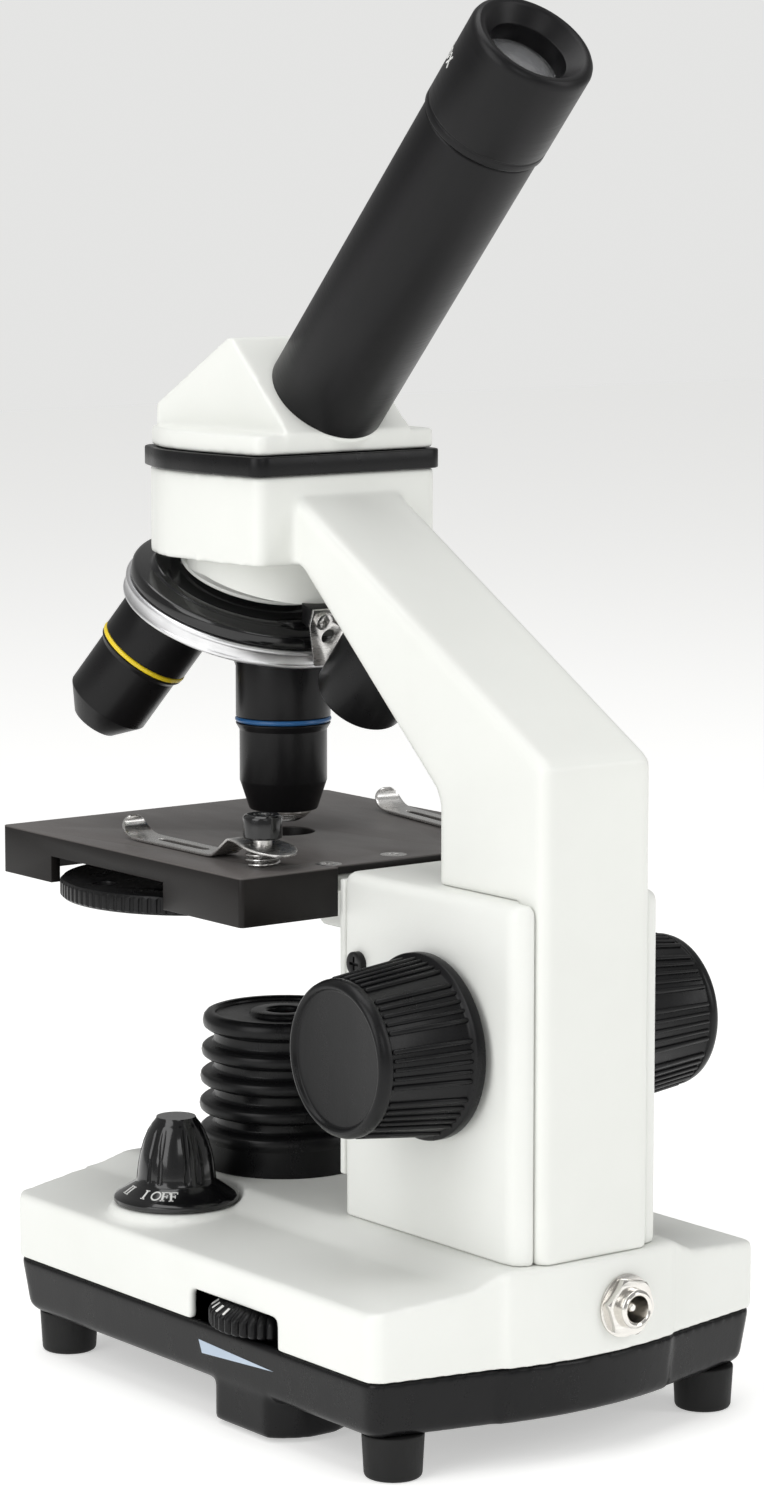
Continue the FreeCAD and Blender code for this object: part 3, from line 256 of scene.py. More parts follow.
def mouldedPlastic(name, colour, shade, rough, grain, depth, coat=0.0, shine=0.2):
    paint = Paint(name, Roughness=rough, Specular_IOR_Level=shine, Coat_Weight=coat, Coat_Roughness=0.08)
    where = paint.place()
    cloud = paint.noise(where, 45, 3)
    spark = paint.noise(where, grain, 2, 0.65)
    pits = paint.node("ShaderNodeTexVoronoi", {"feature": "F1"}, {"Vector": where, "Scale": grain * 0.55})
    smear = paint.noise(paint.stretched(where, 1.0, 1.0, 0.25), 160, 5, 0.65)
    base = paint.mix(paint.spread(cloud, 0.3, 0.72), colour, shade)
    roughness = rough - 0.05 + 0.10 * paint.spread(smear, 0.35, 0.7) + 0.05 * paint.spread(spark, 0.3, 0.7)
    normal = paint.bump(spark * 0.6 + pits * 0.5, 0.45, depth)
    return paint.feed(Base_Color=base, Roughness=roughness, Normal=normal)


def stagePaintWithPaintedTopSheen(name, top, side, sideShade, rough, height):
    paint = Paint(name, Roughness=rough, Specular_IOR_Level=0.16)
    where = paint.place()
    z = paint.node("ShaderNodeSeparateXYZ", {}, {"Vector": where}, output="Z")
    # painted sheen: the band at the plate's top height marks the top face, which gets a much lighter colour than the
    # black sides to stand in for the sheen of light across it
    face = paint.spread(z, height - 0.0004, height - 0.0001)
    cloud = paint.noise(where, 22, 3)
    fine = paint.noise(where, 2400, 2, 0.6)
    rubbed = paint.noise(paint.stretched(where, 1.0, 0.3, 1.0), 120, 4, 0.6)
    # painted sheen on the top face (the top colour, lightly varied by noise); the sides keep the black paint's own
    # colour with a random second tone
    base = paint.mix(face * (0.8 + 0.2 * cloud), paint.mix(paint.spread(cloud, 0.3, 0.7), side, sideShade), top)
    roughness = rough - 0.05 + 0.08 * paint.spread(rubbed, 0.3, 0.7) + 0.05 * paint.spread(fine, 0.3, 0.7)
    return paint.feed(Base_Color=base, Roughness=roughness, Normal=paint.bump(fine, 0.4, 0.00002))


def turnedMetal(name, colour, shade, rough, origin, axis, lines=2600, depth=0.00002, metallic=1.0, streak=0.35,
                shine=0.5):
    paint = Paint(name, Metallic=metallic, Roughness=rough, Specular_IOR_Level=shine)
    where = paint.place(origin, axis)
    x, y, z, radius = paint.turned(where)
    rings = paint.node("ShaderNodeCombineXYZ", {}, {0: radius * 1.0, 1: z * 1.0, 2: 0.0})
    track = paint.noise(rings, lines, 2, 0.7)
    # painted highlight: broad noise read round the axis makes lighter and darker bands in the base colour, standing
    # in for glints of light on the turned metal
    sweep = paint.node("ShaderNodeCombineXYZ", {}, {0: x / radius, 1: y / radius, 2: z * 8.0})
    paintedGlint = paint.noise(sweep, 2.2, 3, 0.6)
    cloud = paint.noise(where, 90, 4, 0.6)
    # the base colour mixes the real turning lines with the painted glint bands
    turnLinesAndPaintedGlint = paint.spread(track, 0.3, 0.7) * streak + paint.spread(paintedGlint, 0.4, 0.65) * (1 - streak)
    base = paint.mix(turnLinesAndPaintedGlint, colour, shade)
    roughness = rough - 0.05 + 0.12 * paint.spread(track, 0.3, 0.7) + 0.06 * paint.spread(cloud, 0.35, 0.7)
    return paint.feed(Base_Color=base, Roughness=roughness, Normal=paint.bump(track, 0.35, depth))


def rolledMetal(name, colour, shade, rough, along=(6.0, 90.0, 90.0), depth=0.00001):
    paint = Paint(name, Metallic=1.0, Roughness=rough)
    where = paint.place()
    lay = paint.noise(paint.stretched(where, *along), 30, 4, 0.65)
    cloud = paint.noise(where, 140, 3)
    scratch = paint.noise(paint.stretched(where, 20, 260, 260), 9, 2, 0.4)
    base = paint.mix(paint.spread(cloud, 0.3, 0.7) * 0.6 + paint.spread(lay, 0.35, 0.65) * 0.4, colour, shade)
    roughness = rough - 0.04 + 0.14 * paint.spread(lay, 0.3, 0.7)
    return paint.feed(Base_Color=base, Roughness=roughness, Normal=paint.bump(lay + scratch * 0.5, 0.3, depth))


def clearGlass(name, tint):
    paint = Paint(name, Transmission_Weight=0.85, IOR=1.52, Coat_Weight=0.6)
    where = paint.place()
    haze = paint.noise(where, 120, 4, 0.6)
    base = paint.mix(paint.spread(haze, 0.3, 0.75) * 0.35, tint, (0.72, 0.70, 0.80))
    return paint.feed(Base_Color=base, Roughness=0.01 + 0.05 * paint.spread(haze, 0.4, 0.8))


def frostedLens(name):
    paint = Paint(name, Subsurface_Weight=0.3, Subsurface_Scale=0.002, IOR=1.49, Coat_Weight=0.4)
    where = paint.place()
    grain = paint.noise(where, 900, 3)
    haze = paint.noise(where, 150, 3)
    base = paint.mix(paint.spread(haze, 0.3, 0.7), (0.86, 0.87, 0.84), (0.76, 0.78, 0.76))
    normal = paint.bump(grain, 0.4, 0.00004)
    return paint.feed(Base_Color=base, Roughness=0.28 + 0.12 * haze, Normal=normal)


def printedBoard(name):
    paint = Paint(name, Roughness=0.35, Coat_Weight=0.3)
    where = paint.place()
    tracks = paint.node("ShaderNodeTexBrick", {}, {"Vector": where, "Scale": 160, "Color1": (0.02, 0.16, 0.07, 1),
                                                  "Color2": (0.02, 0.13, 0.06, 1), "Mortar": (0.05, 0.26, 0.12, 1),
                                                  "Mortar Size": 0.03})
    speck = paint.noise(where, 700, 2)
    return paint.feed(Base_Color=tracks, Roughness=0.3 + 0.2 * speck, Normal=paint.bump(speck, 0.2, 0.00002))


opticalPlace = jointPlace("head_turn")[0]
turretPlace, turretAxis = jointPlace("nosepiece_turn")
knobPlace = jointPlace("focus_turn")[0]
dialPlace = jointPlace("switch_turn")[0]
wheelPlace = jointPlace("dimmer_turn")[0]
turretDown = -turretAxis if turretAxis.z > 0 else turretAxis

finishes = {
    "white_paint": wornPaint("satinWhitePaint", (0.80, 0.81, 0.775), (0.765, 0.775, 0.74), 0.42, 2600, 0.00005),
    "white_plastic": wornPaint("texturedWhiteShell", (0.80, 0.81, 0.78), (0.77, 0.78, 0.745), 0.46, 2200, 0.00006),
    "black_plastic": mouldedPlastic("satinBlackPlastic", (0.0045, 0.0045, 0.005), (0.007, 0.007, 0.0075), 0.29, 2400,
                                    0.00003),
    "black_gloss": mouldedPlastic("glossBlackPlastic", (0.003, 0.003, 0.0035), (0.005, 0.005, 0.0055), 0.16, 1500,
                                  0.00001, 0.5, 0.3),
    "black_metal": mouldedPlastic("blackedMetal", (0.0045, 0.0045, 0.005), (0.0075, 0.007, 0.0075), 0.30, 3000,
                                  0.00002),
    # the stage's first colour is a painted sheen for its top face, far lighter than its black sides
    "stage_paint": stagePaintWithPaintedTopSheen("stageBlackPaintPaintedTopSheen", (0.125, 0.115, 0.111), (0.0085, 0.0075, 0.007),
                              (0.012, 0.0105, 0.010), 0.36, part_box("stage_plate")[1][2]),
    "rubber": mouldedPlastic("blackRubber", (0.009, 0.009, 0.009), (0.014, 0.014, 0.014), 0.52, 1800, 0.00006),
    "steel": rolledMetal("brushedSteel", (0.72, 0.71, 0.69), (0.58, 0.57, 0.56), 0.26),
    "nickel": rolledMetal("brightNickel", (0.80, 0.78, 0.74), (0.66, 0.64, 0.61), 0.16),
    "aluminium": turnedMetal("brushedAluminium", (0.80, 0.80, 0.81), (0.60, 0.60, 0.61), 0.30, turretPlace,
                             turretAxis),
    "brass": rolledMetal("plainBrass", (0.74, 0.56, 0.28), (0.62, 0.45, 0.20), 0.28),
    "glass": clearGlass("coatedGlass", (0.96, 0.97, 0.98)),
    "lamp_diffuser": frostedLens("frostedLampLens"),
    "board": printedBoard("greenBoard"),
    "red_band": mouldedPlastic("redBandPaint", (0.62, 0.03, 0.03), (0.50, 0.02, 0.02), 0.30, 1500, 0.00001, 0.3),
    "yellow_band": mouldedPlastic("yellowBandPaint", (0.80, 0.60, 0.025), (0.74, 0.54, 0.02), 0.30, 1500,
                                  0.00001, 0.3),
    "blue_band": mouldedPlastic("blueBandPaint", (0.025, 0.11, 0.27), (0.02, 0.085, 0.22), 0.30, 1500, 0.00001, 0.3),
}
slotOf = {part["node"]: part["material_slot"] for part in frame["record"]["subparts"]}
bodyOf = {node: body for body, members in frame["record"]["behaviour"]["bodies"].items() for node in members}
for node, obj in nodes.items():
    obj.data.materials.clear()
    obj.data.materials.append(finishes[slotOf[node]])
    obj.data.shade_smooth()
print("finishes made:", len(finishes))


def standIn(obj, *replaced, finish=None):  # obj takes the place of the CAD pieces named
    first = replaced[0]
    slot = slotOf[first]
    return place(obj, bodyOf[first], finish or finishes[slot], slot, *replaced)


studio = {
    "floorColour": (0.82, 0.82, 0.812),
    "floorSize": 6.0,
    "cameraPlace": (0.5697, 0.7548, 0.2689),
    "cameraTurn": 142.922,  # degrees
    "cameraDown": 7.844,
    "lens": 106.57,
    "sky": 0.36,  # lights the piece
    "backdrop": 0.78,  # seen by the camera only
    "floorGlow": 0.46,
    "lamps": [
        # name, place, aim, size, watts
        ("leftSoftbox", (1.25, 0.20, 0.80), (0, 0, 0.15), (0.9, 1.3), 10.2),
        ("rightSoftbox", (-0.95, 1.15, 0.85), (0, 0, 0.15), (0.5, 1.2), 5.5),
        ("topSoftbox", (0.05, -0.1, 1.5), (0, 0, 0.1), (1.2, 1.0), 10),
        ("frontSoftbox", (0.55, 1.6, 0.9), (0, 0, 0.15), (0.7, 0.6), 3),
    ],
}


def makeStudio():
    dropAll()
    bpy.ops.mesh.primitive_plane_add(size=studio["floorSize"], location=(0, 0, 0))
    floor = named("studioFloor")
    sheet = Paint("paleFloor", Roughness=0.6, Emission_Color=(1, 1, 0.99, 1), Emission_Strength=studio["floorGlow"])
    mottle = sheet.noise(sheet.place(), 6, 3)
    pale = studio["floorColour"]
    floor.data.materials.append(sheet.feed(Base_Color=sheet.mix(mottle * 0.3, pale, tuple(0.97 * c for c in pale))))
    world = bpy.data.worlds.new("softRoom")
    bpy.context.scene.world = world
    world.use_nodes = True
    sky = world.node_tree.nodes["Background"]
    sky.inputs["Color"].default_value = (1, 1, 0.99, 1)
    sky.inputs["Strength"].default_value = studio["sky"]
    seen = world.node_tree.nodes.new("ShaderNodeBackground")  # the plain backdrop behind the floor
    seen.inputs["Color"].default_value = (1, 1, 0.99, 1)
    seen.inputs["Strength"].default_value = studio["backdrop"]
    path = world.node_tree.nodes.new("ShaderNodeLightPath")
    blend = world.node_tree.nodes.new("ShaderNodeMixShader")
    link = world.node_tree.links.new
    link(path.outputs["Is Camera Ray"], blend.inputs[0])
    link(sky.outputs[0], blend.inputs[1])
    link(seen.outputs[0], blend.inputs[2])
    link(blend.outputs[0], world.node_tree.nodes["World Output"].inputs["Surface"])
    for name, spot, aim, size, watts in studio["lamps"]:
        dropAll()
        bpy.ops.object.light_add(type="AREA", location=spot)
        lamp = bpy.context.object
        lamp.name = name
        lamp.rotation_euler = (Vector(aim) - Vector(spot)).to_track_quat("-Z", "Y").to_euler()
        lamp.data.shape = "RECTANGLE"
        lamp.data.size, lamp.data.size_y = size
        lamp.data.energy = watts
        lamp.visible_camera = False
    dropAll()
    bpy.ops.object.camera_add(location=studio["cameraPlace"])
    camera = bpy.context.object
    camera.name = "viewCamera"
    turn, down = math.radians(studio["cameraTurn"]), math.radians(studio["cameraDown"])
    back = Vector((math.sin(turn) * math.cos(down), -math.cos(turn) * math.cos(down), math.sin(down)))
    camera.rotation_euler = (-back).to_track_quat("-Z", "Y").to_euler()
    camera.data.lens = studio["lens"]
    camera.data.sensor_width = 36
    camera.data.clip_start = 0.05
    bpy.context.scene.camera = camera
    bpy.context.scene.view_settings.view_transform = "Standard"


makeStudio()
print("studio ready")


castings = {
    # node: (voxel in mm, smoothing passes, share of faces kept, finished name)
    "base_shell": (0.75, 6, 0.55, "baseShell"),
    "base_pan": (0.75, 5, 0.55, "basePan"),
    "focus_housing": (0.6, 6, 0.5, "focusHousing"),
    "arm": (0.7, 7, 0.6, "armCasting"),
    "prism_housing": (0.5, 8, 0.7, "rotatingHead"),
    "stage_bracket": (0.55, 5, 0.6, "stageBracket"),
}


def makeCastings():
    foot, direction = tubeFoot()
    for node, (grain, passes, keep, name) in castings.items():
        filler = None
        if node == "prism_housing":  # the tube's socket is closed, since the tube starts at the sloping face
            filler = turnedPiece("socketFiller", eyepieceSizes["filler"], foot, direction, 64, 0)
        standIn(moulded(node, name, grain * mm, passes, keep, filler), node)
        print("cast:", name)


machined = {
    # node: (rounding in mm, finished name)
    "front_cover": (0.35, "slotCover"),
    "head_collar": (0.7, "headCollar"),
    "rubber_feet": (0.35, "rubberFeet"),
    "lamp_lens": (0.2, "lampLens"),
    "jack_body": (0.12, "jackBarrel"),
    "jack_nut": (0.2, "jackNut"),
    "limit_screw": (0.12, "limitScrew"),
    "guide_rails": (0.2, "guideRails"),
    "shaft_bushes": (0.12, "shaftBushes"),
    "turret_axle": (0.12, "turretAxle"),
    "detent_bracket": (0.25, "detentLug"),
    "detent_spring": (0.12, "detentPlate"),
    "detent_screws": (0.12, "detentScrews"),
    "upper_lamp_housing": (0.3, "upperLampHousing"),
    "stage_plate": (0.3, "stagePlate"),
    "stage_screws": (0.1, "stageScrews"),
    "clip_caps": (0.25, "clipCaps"),
    "disc_diaphragm": (0.15, "discDiaphragm"),
}


def makeMachined():
    for node, (width, name) in machined.items():
        darkened = finishes["black_metal"] if node == "limit_screw" else None
        standIn(edged(node, name, width * mm), node, finish=darkened)
    print("machined pieces:", len(machined))


makeMachined()


def turnedPiece(name, profile, origin, direction, steps=96, rounding=0.2, angle=30):
    # spins (radius, distance along) pairs in mm round the direction
    dropAll()
    bpy.ops.mesh.primitive_circle_add(vertices=len(profile), radius=10 * mm)
    obj = named(name)
    for vertex, (radius, height) in zip(obj.data.vertices, profile):
        vertex.co = (radius * mm, 0, height * mm)
    bpy.ops.object.mode_set(mode="EDIT")
    bpy.ops.mesh.select_all(action="SELECT")
    bpy.ops.mesh.spin(steps=steps, angle=2 * math.pi, center=(0, 0, 0), axis=(0, 0, 1))
    bpy.ops.mesh.select_all(action="SELECT")
    bpy.ops.mesh.remove_doubles(threshold=1e-6)
    bpy.ops.mesh.delete_loose()
    bpy.ops.mesh.select_all(action="SELECT")
    bpy.ops.mesh.normals_make_consistent(inside=False)
    bpy.ops.object.mode_set(mode="OBJECT")
    if rounding:
        softEdges(obj, rounding * mm, 2, angle)
    putAt(obj, origin, direction)
    smoothBy(obj, 40)
    return obj


def putAt(obj, origin, direction, roll=0.0):
    pickOnly(obj)
    turn = Vector((0, 0, 1)).rotation_difference(Vector(direction))
    obj.matrix_world = Matrix.Translation(origin) @ turn.to_matrix().to_4x4() @ Matrix.Rotation(roll, 4, "Z")
    bpy.ops.object.transform_apply(location=True, rotation=True, scale=True)


def joined(name, *objs):
    pickOnly(*objs)
    bpy.ops.object.join()
    return named(name)


def cutAway(obj, cutter):
    modifier = addModifier(obj, "BOOLEAN", operation="DIFFERENCE", solver="EXACT")
    modifier.use_self = True
    modifier.object = cutter
    applyModifiers(obj)
    bpy.data.objects.remove(cutter)


def capsule(name, radius, low, high, sides=12):  # a rod with round ends
    dropAll()
    bpy.ops.mesh.primitive_uv_sphere_add(segments=sides, ring_count=8, radius=radius)
    obj = named(name)
    length = (Vector(high) - Vector(low)).length
    for vertex in obj.data.vertices:
        if vertex.co.z > 1e-6:
            vertex.co.z += length
    putAt(obj, Vector(low), Vector(high) - Vector(low))
    return obj


turretSizes = {
    "apex": 199.2 * mm,
    # radius and distance from the apex, in mm
    "boss": [(5.0, 34.5), (10.6, 34.5), (10.95, 35.0), (10.95, 41.2), (10.65, 41.5), (9.6, 41.5), (9.6, 39.2),
             (5.0, 39.2)],
    "ring": [(24.0, 33.3), (27.6, 33.3), (28.1, 33.7), (28.1, 34.2), (27.95, 34.35), (27.95, 36.4), (28.1, 36.55),
             (28.1, 37.2), (27.6, 37.6), (24.0, 37.6)],
    "dish": [(3.6, 27.5), (11.2, 27.5), (11.6, 27.8), (16.2, 28.9), (16.8, 29.5), (20.4, 29.7), (20.8, 29.3),
             (22.6, 29.4), (23.0, 29.9), (26.2, 30.0), (27.0, 30.3), (27.3, 30.9), (27.3, 32.9), (26.9, 33.3),
             (24.4, 33.3), (24.4, 37.5), (23.6, 37.6), (3.7, 37.6), (3.7, 36.3), (3.05, 36.3)],
}
apex = Vector((opticalPlace.x, opticalPlace.y, turretSizes["apex"]))


def towards(position):  # the way an objective points
    return Matrix.Rotation(math.radians(120 * position), 3, turretDown) @ Vector((0, 0, -1))


def makeTurret():
    dish = turnedPiece("turretDish", turretSizes["dish"], apex, turretDown, 128, 0.18)
    bosses = []
    for position in range(3):
        way = towards(position)
        bosses.append(turnedPiece("boss", turretSizes["boss"], apex, way, 64, 0.12))
    standIn(joined("turretBody", dish, *bosses), "turret_body")
    ring = turnedPiece("turretGripRing", turretSizes["ring"], apex, turretDown, 160, 0.1)
    brushed = turnedMetal("brushedGripRing", (0.80, 0.80, 0.81), (0.60, 0.60, 0.61), 0.31, apex, turretDown,
                          lines=900, streak=0.25)
    standIn(ring, "turret_ring", finish=brushed)
    print("turret ready")


lampSizes = {
    "core": 15.7,  # radius between the ribs
    "rim": 34.6,
    "hole": 3.8,
    "ribs": [(7.5, 19.0), (13.6, 19.0), (19.8, 18.8), (25.8, 18.5)],  # middle height and radius
    "ribHalf": 1.45,
    "topRadius": 18.2,
    "foot": [(13.5, 0), (18.2, 0), (18.4, 0.25), (18.4, 5.9)],
    "inside": [(6.3, 33.05), (6.3, 29.0), (13.5, 29.0)],
}


def makeLampHousing():
    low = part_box("lamp_housing")[0][2]
    core, half = lampSizes["core"], lampSizes["ribHalf"]
    profile = list(lampSizes["foot"])
    for height, radius in lampSizes["ribs"]:
        if height > lampSizes["ribs"][0][0]:  # the lowest rib stands on the foot
            profile += [(core, height - half - 0.75), (core + 0.5, height - half - 0.15),
                        (radius - 0.8, height - half)]
        profile += [(radius - 0.2, height - half * 0.65), (radius, height), (radius - 0.2, height + half * 0.65),
                    (radius - 0.8, height + half), (core + 0.5, height + half + 0.25), (core, height + half + 0.85)]
    radius, rim, hole = lampSizes["topRadius"], lampSizes["rim"], lampSizes["hole"]
    profile += [(core, rim - 4.6), (core + 0.5, rim - 4.1), (radius - 0.9, rim - 3.9), (radius - 0.2, rim - 3.3),
                (radius, rim - 2.2), (radius - 0.25, rim - 1.0), (radius - 0.9, rim - 0.25), (radius - 1.6, rim),
                (radius - 2.5, rim - 0.05), (radius - 2.9, rim - 0.5), (radius - 3.0, rim - 1.0),  # the sunk top
                (8.3, rim - 1.1), (7.8, rim - 0.9), (7.5, rim - 0.2), (7.0, rim), (hole + 0.5, rim),
                (hole, rim - 0.4), (hole, rim - 1.4)] + lampSizes["inside"]
    spot = Vector((opticalPlace.x, opticalPlace.y, low))
    standIn(turnedPiece("ribbedLampHousing", profile, spot, (0, 0, 1), 128, 0.12), "lamp_housing")
    print("lower lamp ready")


seatSizes = {
    "round": 0.3,
    "lip": [(3.0, 26.2), (16.6, 26.2), (17.15, 26.35), (17.2, 27.2), (17.0, 27.42), (3.0, 27.42)],
}


def makeNosepieceSeat():
    seat = edged("nosepiece_seat", "seatCone", seatSizes["round"] * mm, 3)
    lip = turnedPiece("seatLip", seatSizes["lip"], apex, turretDown, 128, 0.1)
    standIn(joined("nosepieceSeat", seat, lip), "nosepiece_seat")
    print("seat ready")


knobSizes = {
    "inner": 20.9,  # of the inner face, from the middle of the column
    "groups": 9,
    "ridges": 5,  # in one group
    "spacing": 6.6,  # degrees
    "outerRidge": 0.62,
    "innerRidge": 0.5,
    "ridgeStart": (2.6, 18.15),  # distance from the inner face, radius
    "ridgeEnd": (20.4, 16.2),
    # radius and distance from the inner face
    "cup": [(3.0, 3.0), (3.0, 20.1), (0, 20.1), (0, 23.1), (13.9, 23.1), (14.2, 23.3), (14.5, 23.95), (14.9, 24.1),
            (15.4, 24.0), (16.1, 23.3), (16.4, 22.4), (16.4, 21.4), (16.0, 21.1), (18.1, 2.9), (18.7, 2.6),
            (19.4, 2.3), (19.5, 2.1), (19.5, 0.2), (19.3, 0), (16.8, 0), (14.4, 20.1), (6.0, 20.1), (6.0, 3.0)],
}


def makeKnob(side, node, name):
    size = knobSizes
    direction = Vector((side, 0, 0))
    base = Vector((side * size["inner"] * mm, knobPlace.y, knobPlace.z))
    cup = turnedPiece(name + "Cup", size["cup"], base, direction, 128, 0.15)
    ridges = []
    for group in range(size["groups"]):
        for k in range(size["ridges"]):
            turn = math.radians(group * 360 / size["groups"] + (k - (size["ridges"] - 1) / 2) * size["spacing"])
            out = Vector((0, math.cos(turn), math.sin(turn)))
            wide = size["outerRidge"] if k in (0, size["ridges"] - 1) else size["innerRidge"]
            start, end = (base + (direction * along + out * radius) * mm
                          for along, radius in (size["ridgeStart"], size["ridgeEnd"]))
            ridges.append(capsule("ridge", wide * mm, start, end))
    knob = joined(name, cup, *ridges)
    smoothBy(knob, 40)
    standIn(knob, node)
    print("knob ready:", name)


wheelSizes = {
    "teeth": 44,
    "bite": 0.42,  # half the depth of a notch
    "squareness": 0.6,  # below 1, the notches are narrower than the teeth
    "notched": 14.3,  # radius past which the rim is notched
    "thickness": 5.9,
    # radius and height above the underside
    "profile": [(0, 0), (14.6, 0), (15.2, 0.25), (15.55, 0.7), (15.55, 3.2), (15.2, 3.75), (12.3, 5.6), (11.8, 5.75),
                (0, 5.75)],
    "stem": [(0, 0), (2.5, 0), (2.5, 12.0), (0, 12.0)],
    "stemDrop": 11.9,
    "markOuter": (14.9, 3.93),
    "markInner": (13.3, 4.98),
    "markProud": 0.12,
    "marks": [(-38, 0.5), (-26, 0.35), (-14, 0.5), (-2, 0.35)],  # degrees, half width
}


def wheelFoot():  # the middle of the brightness wheel's underside
    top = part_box("brightness_wheel")[1][2]
    return Vector((wheelPlace.x, wheelPlace.y, top - wheelSizes["thickness"] * mm))


def makeBrightnessWheel():
    size = wheelSizes
    low = wheelFoot()
    wheel = turnedPiece("brightnessWheel", size["profile"], low, (0, 0, 1), size["teeth"] * 6, 0)
    for vertex in wheel.data.vertices:
        away = vertex.co - low
        radius = math.hypot(away.x, away.y)
        if radius > size["notched"] * mm:
            wave = abs(math.sin(math.atan2(away.y, away.x) * size["teeth"] / 2)) ** size["squareness"]
            shrink = 1 - (1 - wave) * size["bite"] * mm * 2 / radius
            vertex.co.x, vertex.co.y = low.x + away.x * shrink, low.y + away.y * shrink
    smoothBy(wheel, 32)
    stemFoot = low - Vector((0, 0, size["stemDrop"] * mm))
    stem = turnedPiece("wheelStem", size["stem"], stemFoot, (0, 0, 1), 32, 0)
    standIn(joined("brightnessWheel", wheel, stem), "brightness_wheel")
    print("wheel ready")


lensBarrels = {
    # node: (band's node, name, place on the turret, band, waist, shoulder, tip, tip radius, bore)
    "objective_40x": ("band_40x", "objectiveHigh", 0, 57.3, 59.6, 71.2, 77.4, 7.4, 6.3),
    "objective_10x": ("band_10x", "objectiveMiddle", 1, 55.2, 57.2, 70.0, 75.5, 5.4, 4.2),
    "objective_4x": ("band_4x", "objectiveLow", 2, 52.0, 53.8, 58.0, 61.5, 8.4, 6.0),
}
barrelRadii = {"outer": 10.5, "low": 9.7}
noseProfile = [(3.0, 62.0), (6.2, 62.0), (6.2, 78.0), (6.0, 78.25), (5.75, 78.3), (5.7, 78.5), (5.45, 78.75),
               (5.2, 78.8), (5.15, 79.0), (4.9, 79.25), (4.3, 79.4), (4.2, 79.6), (3.4, 80.0), (0.6, 80.0),
               (0, 79.9), (0, 78.4), (3.0, 78.0)]  # the sprung tip of the longest objective


def makeObjectives():
    outer, low = barrelRadii["outer"], barrelRadii["low"]
    for node, (bandNode, name, position, band, waist, shoulder, tip, tipRadius, bore) in lensBarrels.items():
        way = towards(position)
        profile = [(bore, 39.3), (9.6, 39.3), (9.6, 41.55), (10.2, 41.55), (outer, 41.9), (outer, 43.2),
                   (10.38, 43.35), (10.38, 43.65), (outer, 43.8), (outer, band - 0.75), (10.1, band - 0.6),
                   (10.1, band + 0.6), (outer, band + 0.75), (outer, band + 0.95), (low, waist),
                   (low, shoulder - 0.25), (low - 0.12, shoulder), (tipRadius + 0.25, tip - 0.35), (tipRadius, tip),
                   (tipRadius - 1.2, tip), (max(bore, tipRadius - 1.5), tip - 0.4), (bore, tip - 0.4)]
        standIn(turnedPiece(name, profile, apex, way, 96, 0.14), node)
        bead = [(10.05, band - 0.55), (10.4, band - 0.5), (10.62, band - 0.3), (10.7, band), (10.62, band + 0.3),
                (10.4, band + 0.5), (10.05, band + 0.55)]
        standIn(turnedPiece(name + "Ring", bead, apex, way, 96, 0), bandNode)
    tip = turnedPiece("sprungNose", noseProfile, apex, towards(0), 96, 0.08)
    bright = turnedMetal("turnedNickel", (0.84, 0.82, 0.78), (0.62, 0.60, 0.57), 0.14, apex, towards(0))
    standIn(tip, "objective_nose", finish=bright)
    print("objectives ready")


eyepieceSizes = {
    "foot": Vector((0, 16.8 * mm, 214.2 * mm)),
    "lean": 43.5,
    "filler": [(0, -3.3), (13.3, -3.3), (13.3, -0.15), (0, -0.15)],
    "tube": [(11.625, -0.2), (13.1, -0.2), (13.1, 78.0), (12.7, 78.5), (12.0, 78.5), (11.625, 78.1)],
    "cap": [(10.2, 81.15), (11.6, 81.15), (11.6, 78.65), (13.25, 78.65), (13.65, 79.1), (13.65, 80.4),
            (13.52, 80.55), (13.52, 80.95), (13.65, 81.1), (13.65, 100.8), (13.45, 101.5), (12.9, 102.2),
            (12.3, 102.55), (11.5, 102.5), (10.9, 102.2), (9.0, 99.6), (8.5, 99.25), (8.4, 98.8), (8.4, 92.65),
            (7.4, 92.65), (7.4, 90.65), (10.2, 88.65)],
}


def tubeFoot():  # where the tube meets the head, and the way it points
    lean = math.radians(eyepieceSizes["lean"])
    direction = Vector((0, math.sin(lean), math.cos(lean)))
    return eyepieceSizes["foot"] + Vector((opticalPlace.x, opticalPlace.y, 0)), direction


def makeEyepiece():
    foot, direction = tubeFoot()
    tube = turnedPiece("viewingTube", eyepieceSizes["tube"], foot, direction, 128, 0.1)
    standIn(tube, "eyepiece_tube", finish=finishes["tube"])
    cap = turnedPiece("eyepieceCap", eyepieceSizes["cap"], foot, direction, 128, 0.12)
    standIn(cap, "eyepiece_cap", finish=finishes["tube"])
    print("eyepiece ready")


def bars(strokes, width):  # straight strokes of a letter
    made = []
    for x0, y0, x1, y1, thick in strokes:
        dropAll()
        bpy.ops.mesh.primitive_cube_add(size=1)
        bar = named("stroke")
        length = math.hypot(x1 - x0, y1 - y0)
        turn = math.atan2(y1 - y0, x1 - x0)
        bar.matrix_world = (Matrix.Translation(((x0 + x1) / 2, (y0 + y1) / 2, 0)) @ Matrix.Rotation(turn, 4, "Z")
                            @ Matrix.Diagonal((length, thick, width, 1)))
        bpy.ops.object.transform_apply(location=True, rotation=True, scale=True)
        made.append(bar)
    return made


def ringLetter(wide, tall, thick, depth):
    dropAll()
    bpy.ops.mesh.primitive_circle_add(vertices=40, radius=0.5, fill_type="NGON")
    ring = named("stroke")
    bpy.ops.object.mode_set(mode="EDIT")
    bpy.ops.mesh.select_all(action="SELECT")
    bpy.ops.mesh.inset(thickness=thick / tall)
    bpy.ops.mesh.delete(type="FACE")
    bpy.ops.mesh.select_all(action="SELECT")
    bpy.ops.mesh.extrude_region_move(TRANSFORM_OT_translate={"value": (0, 0, depth)})
    bpy.ops.object.mode_set(mode="OBJECT")
    ring.matrix_world = Matrix.Translation((0, 0, -depth / 2)) @ Matrix.Diagonal((wide, tall, 1, 1))
    bpy.ops.object.transform_apply(location=True, rotation=True, scale=True)
    return [ring]


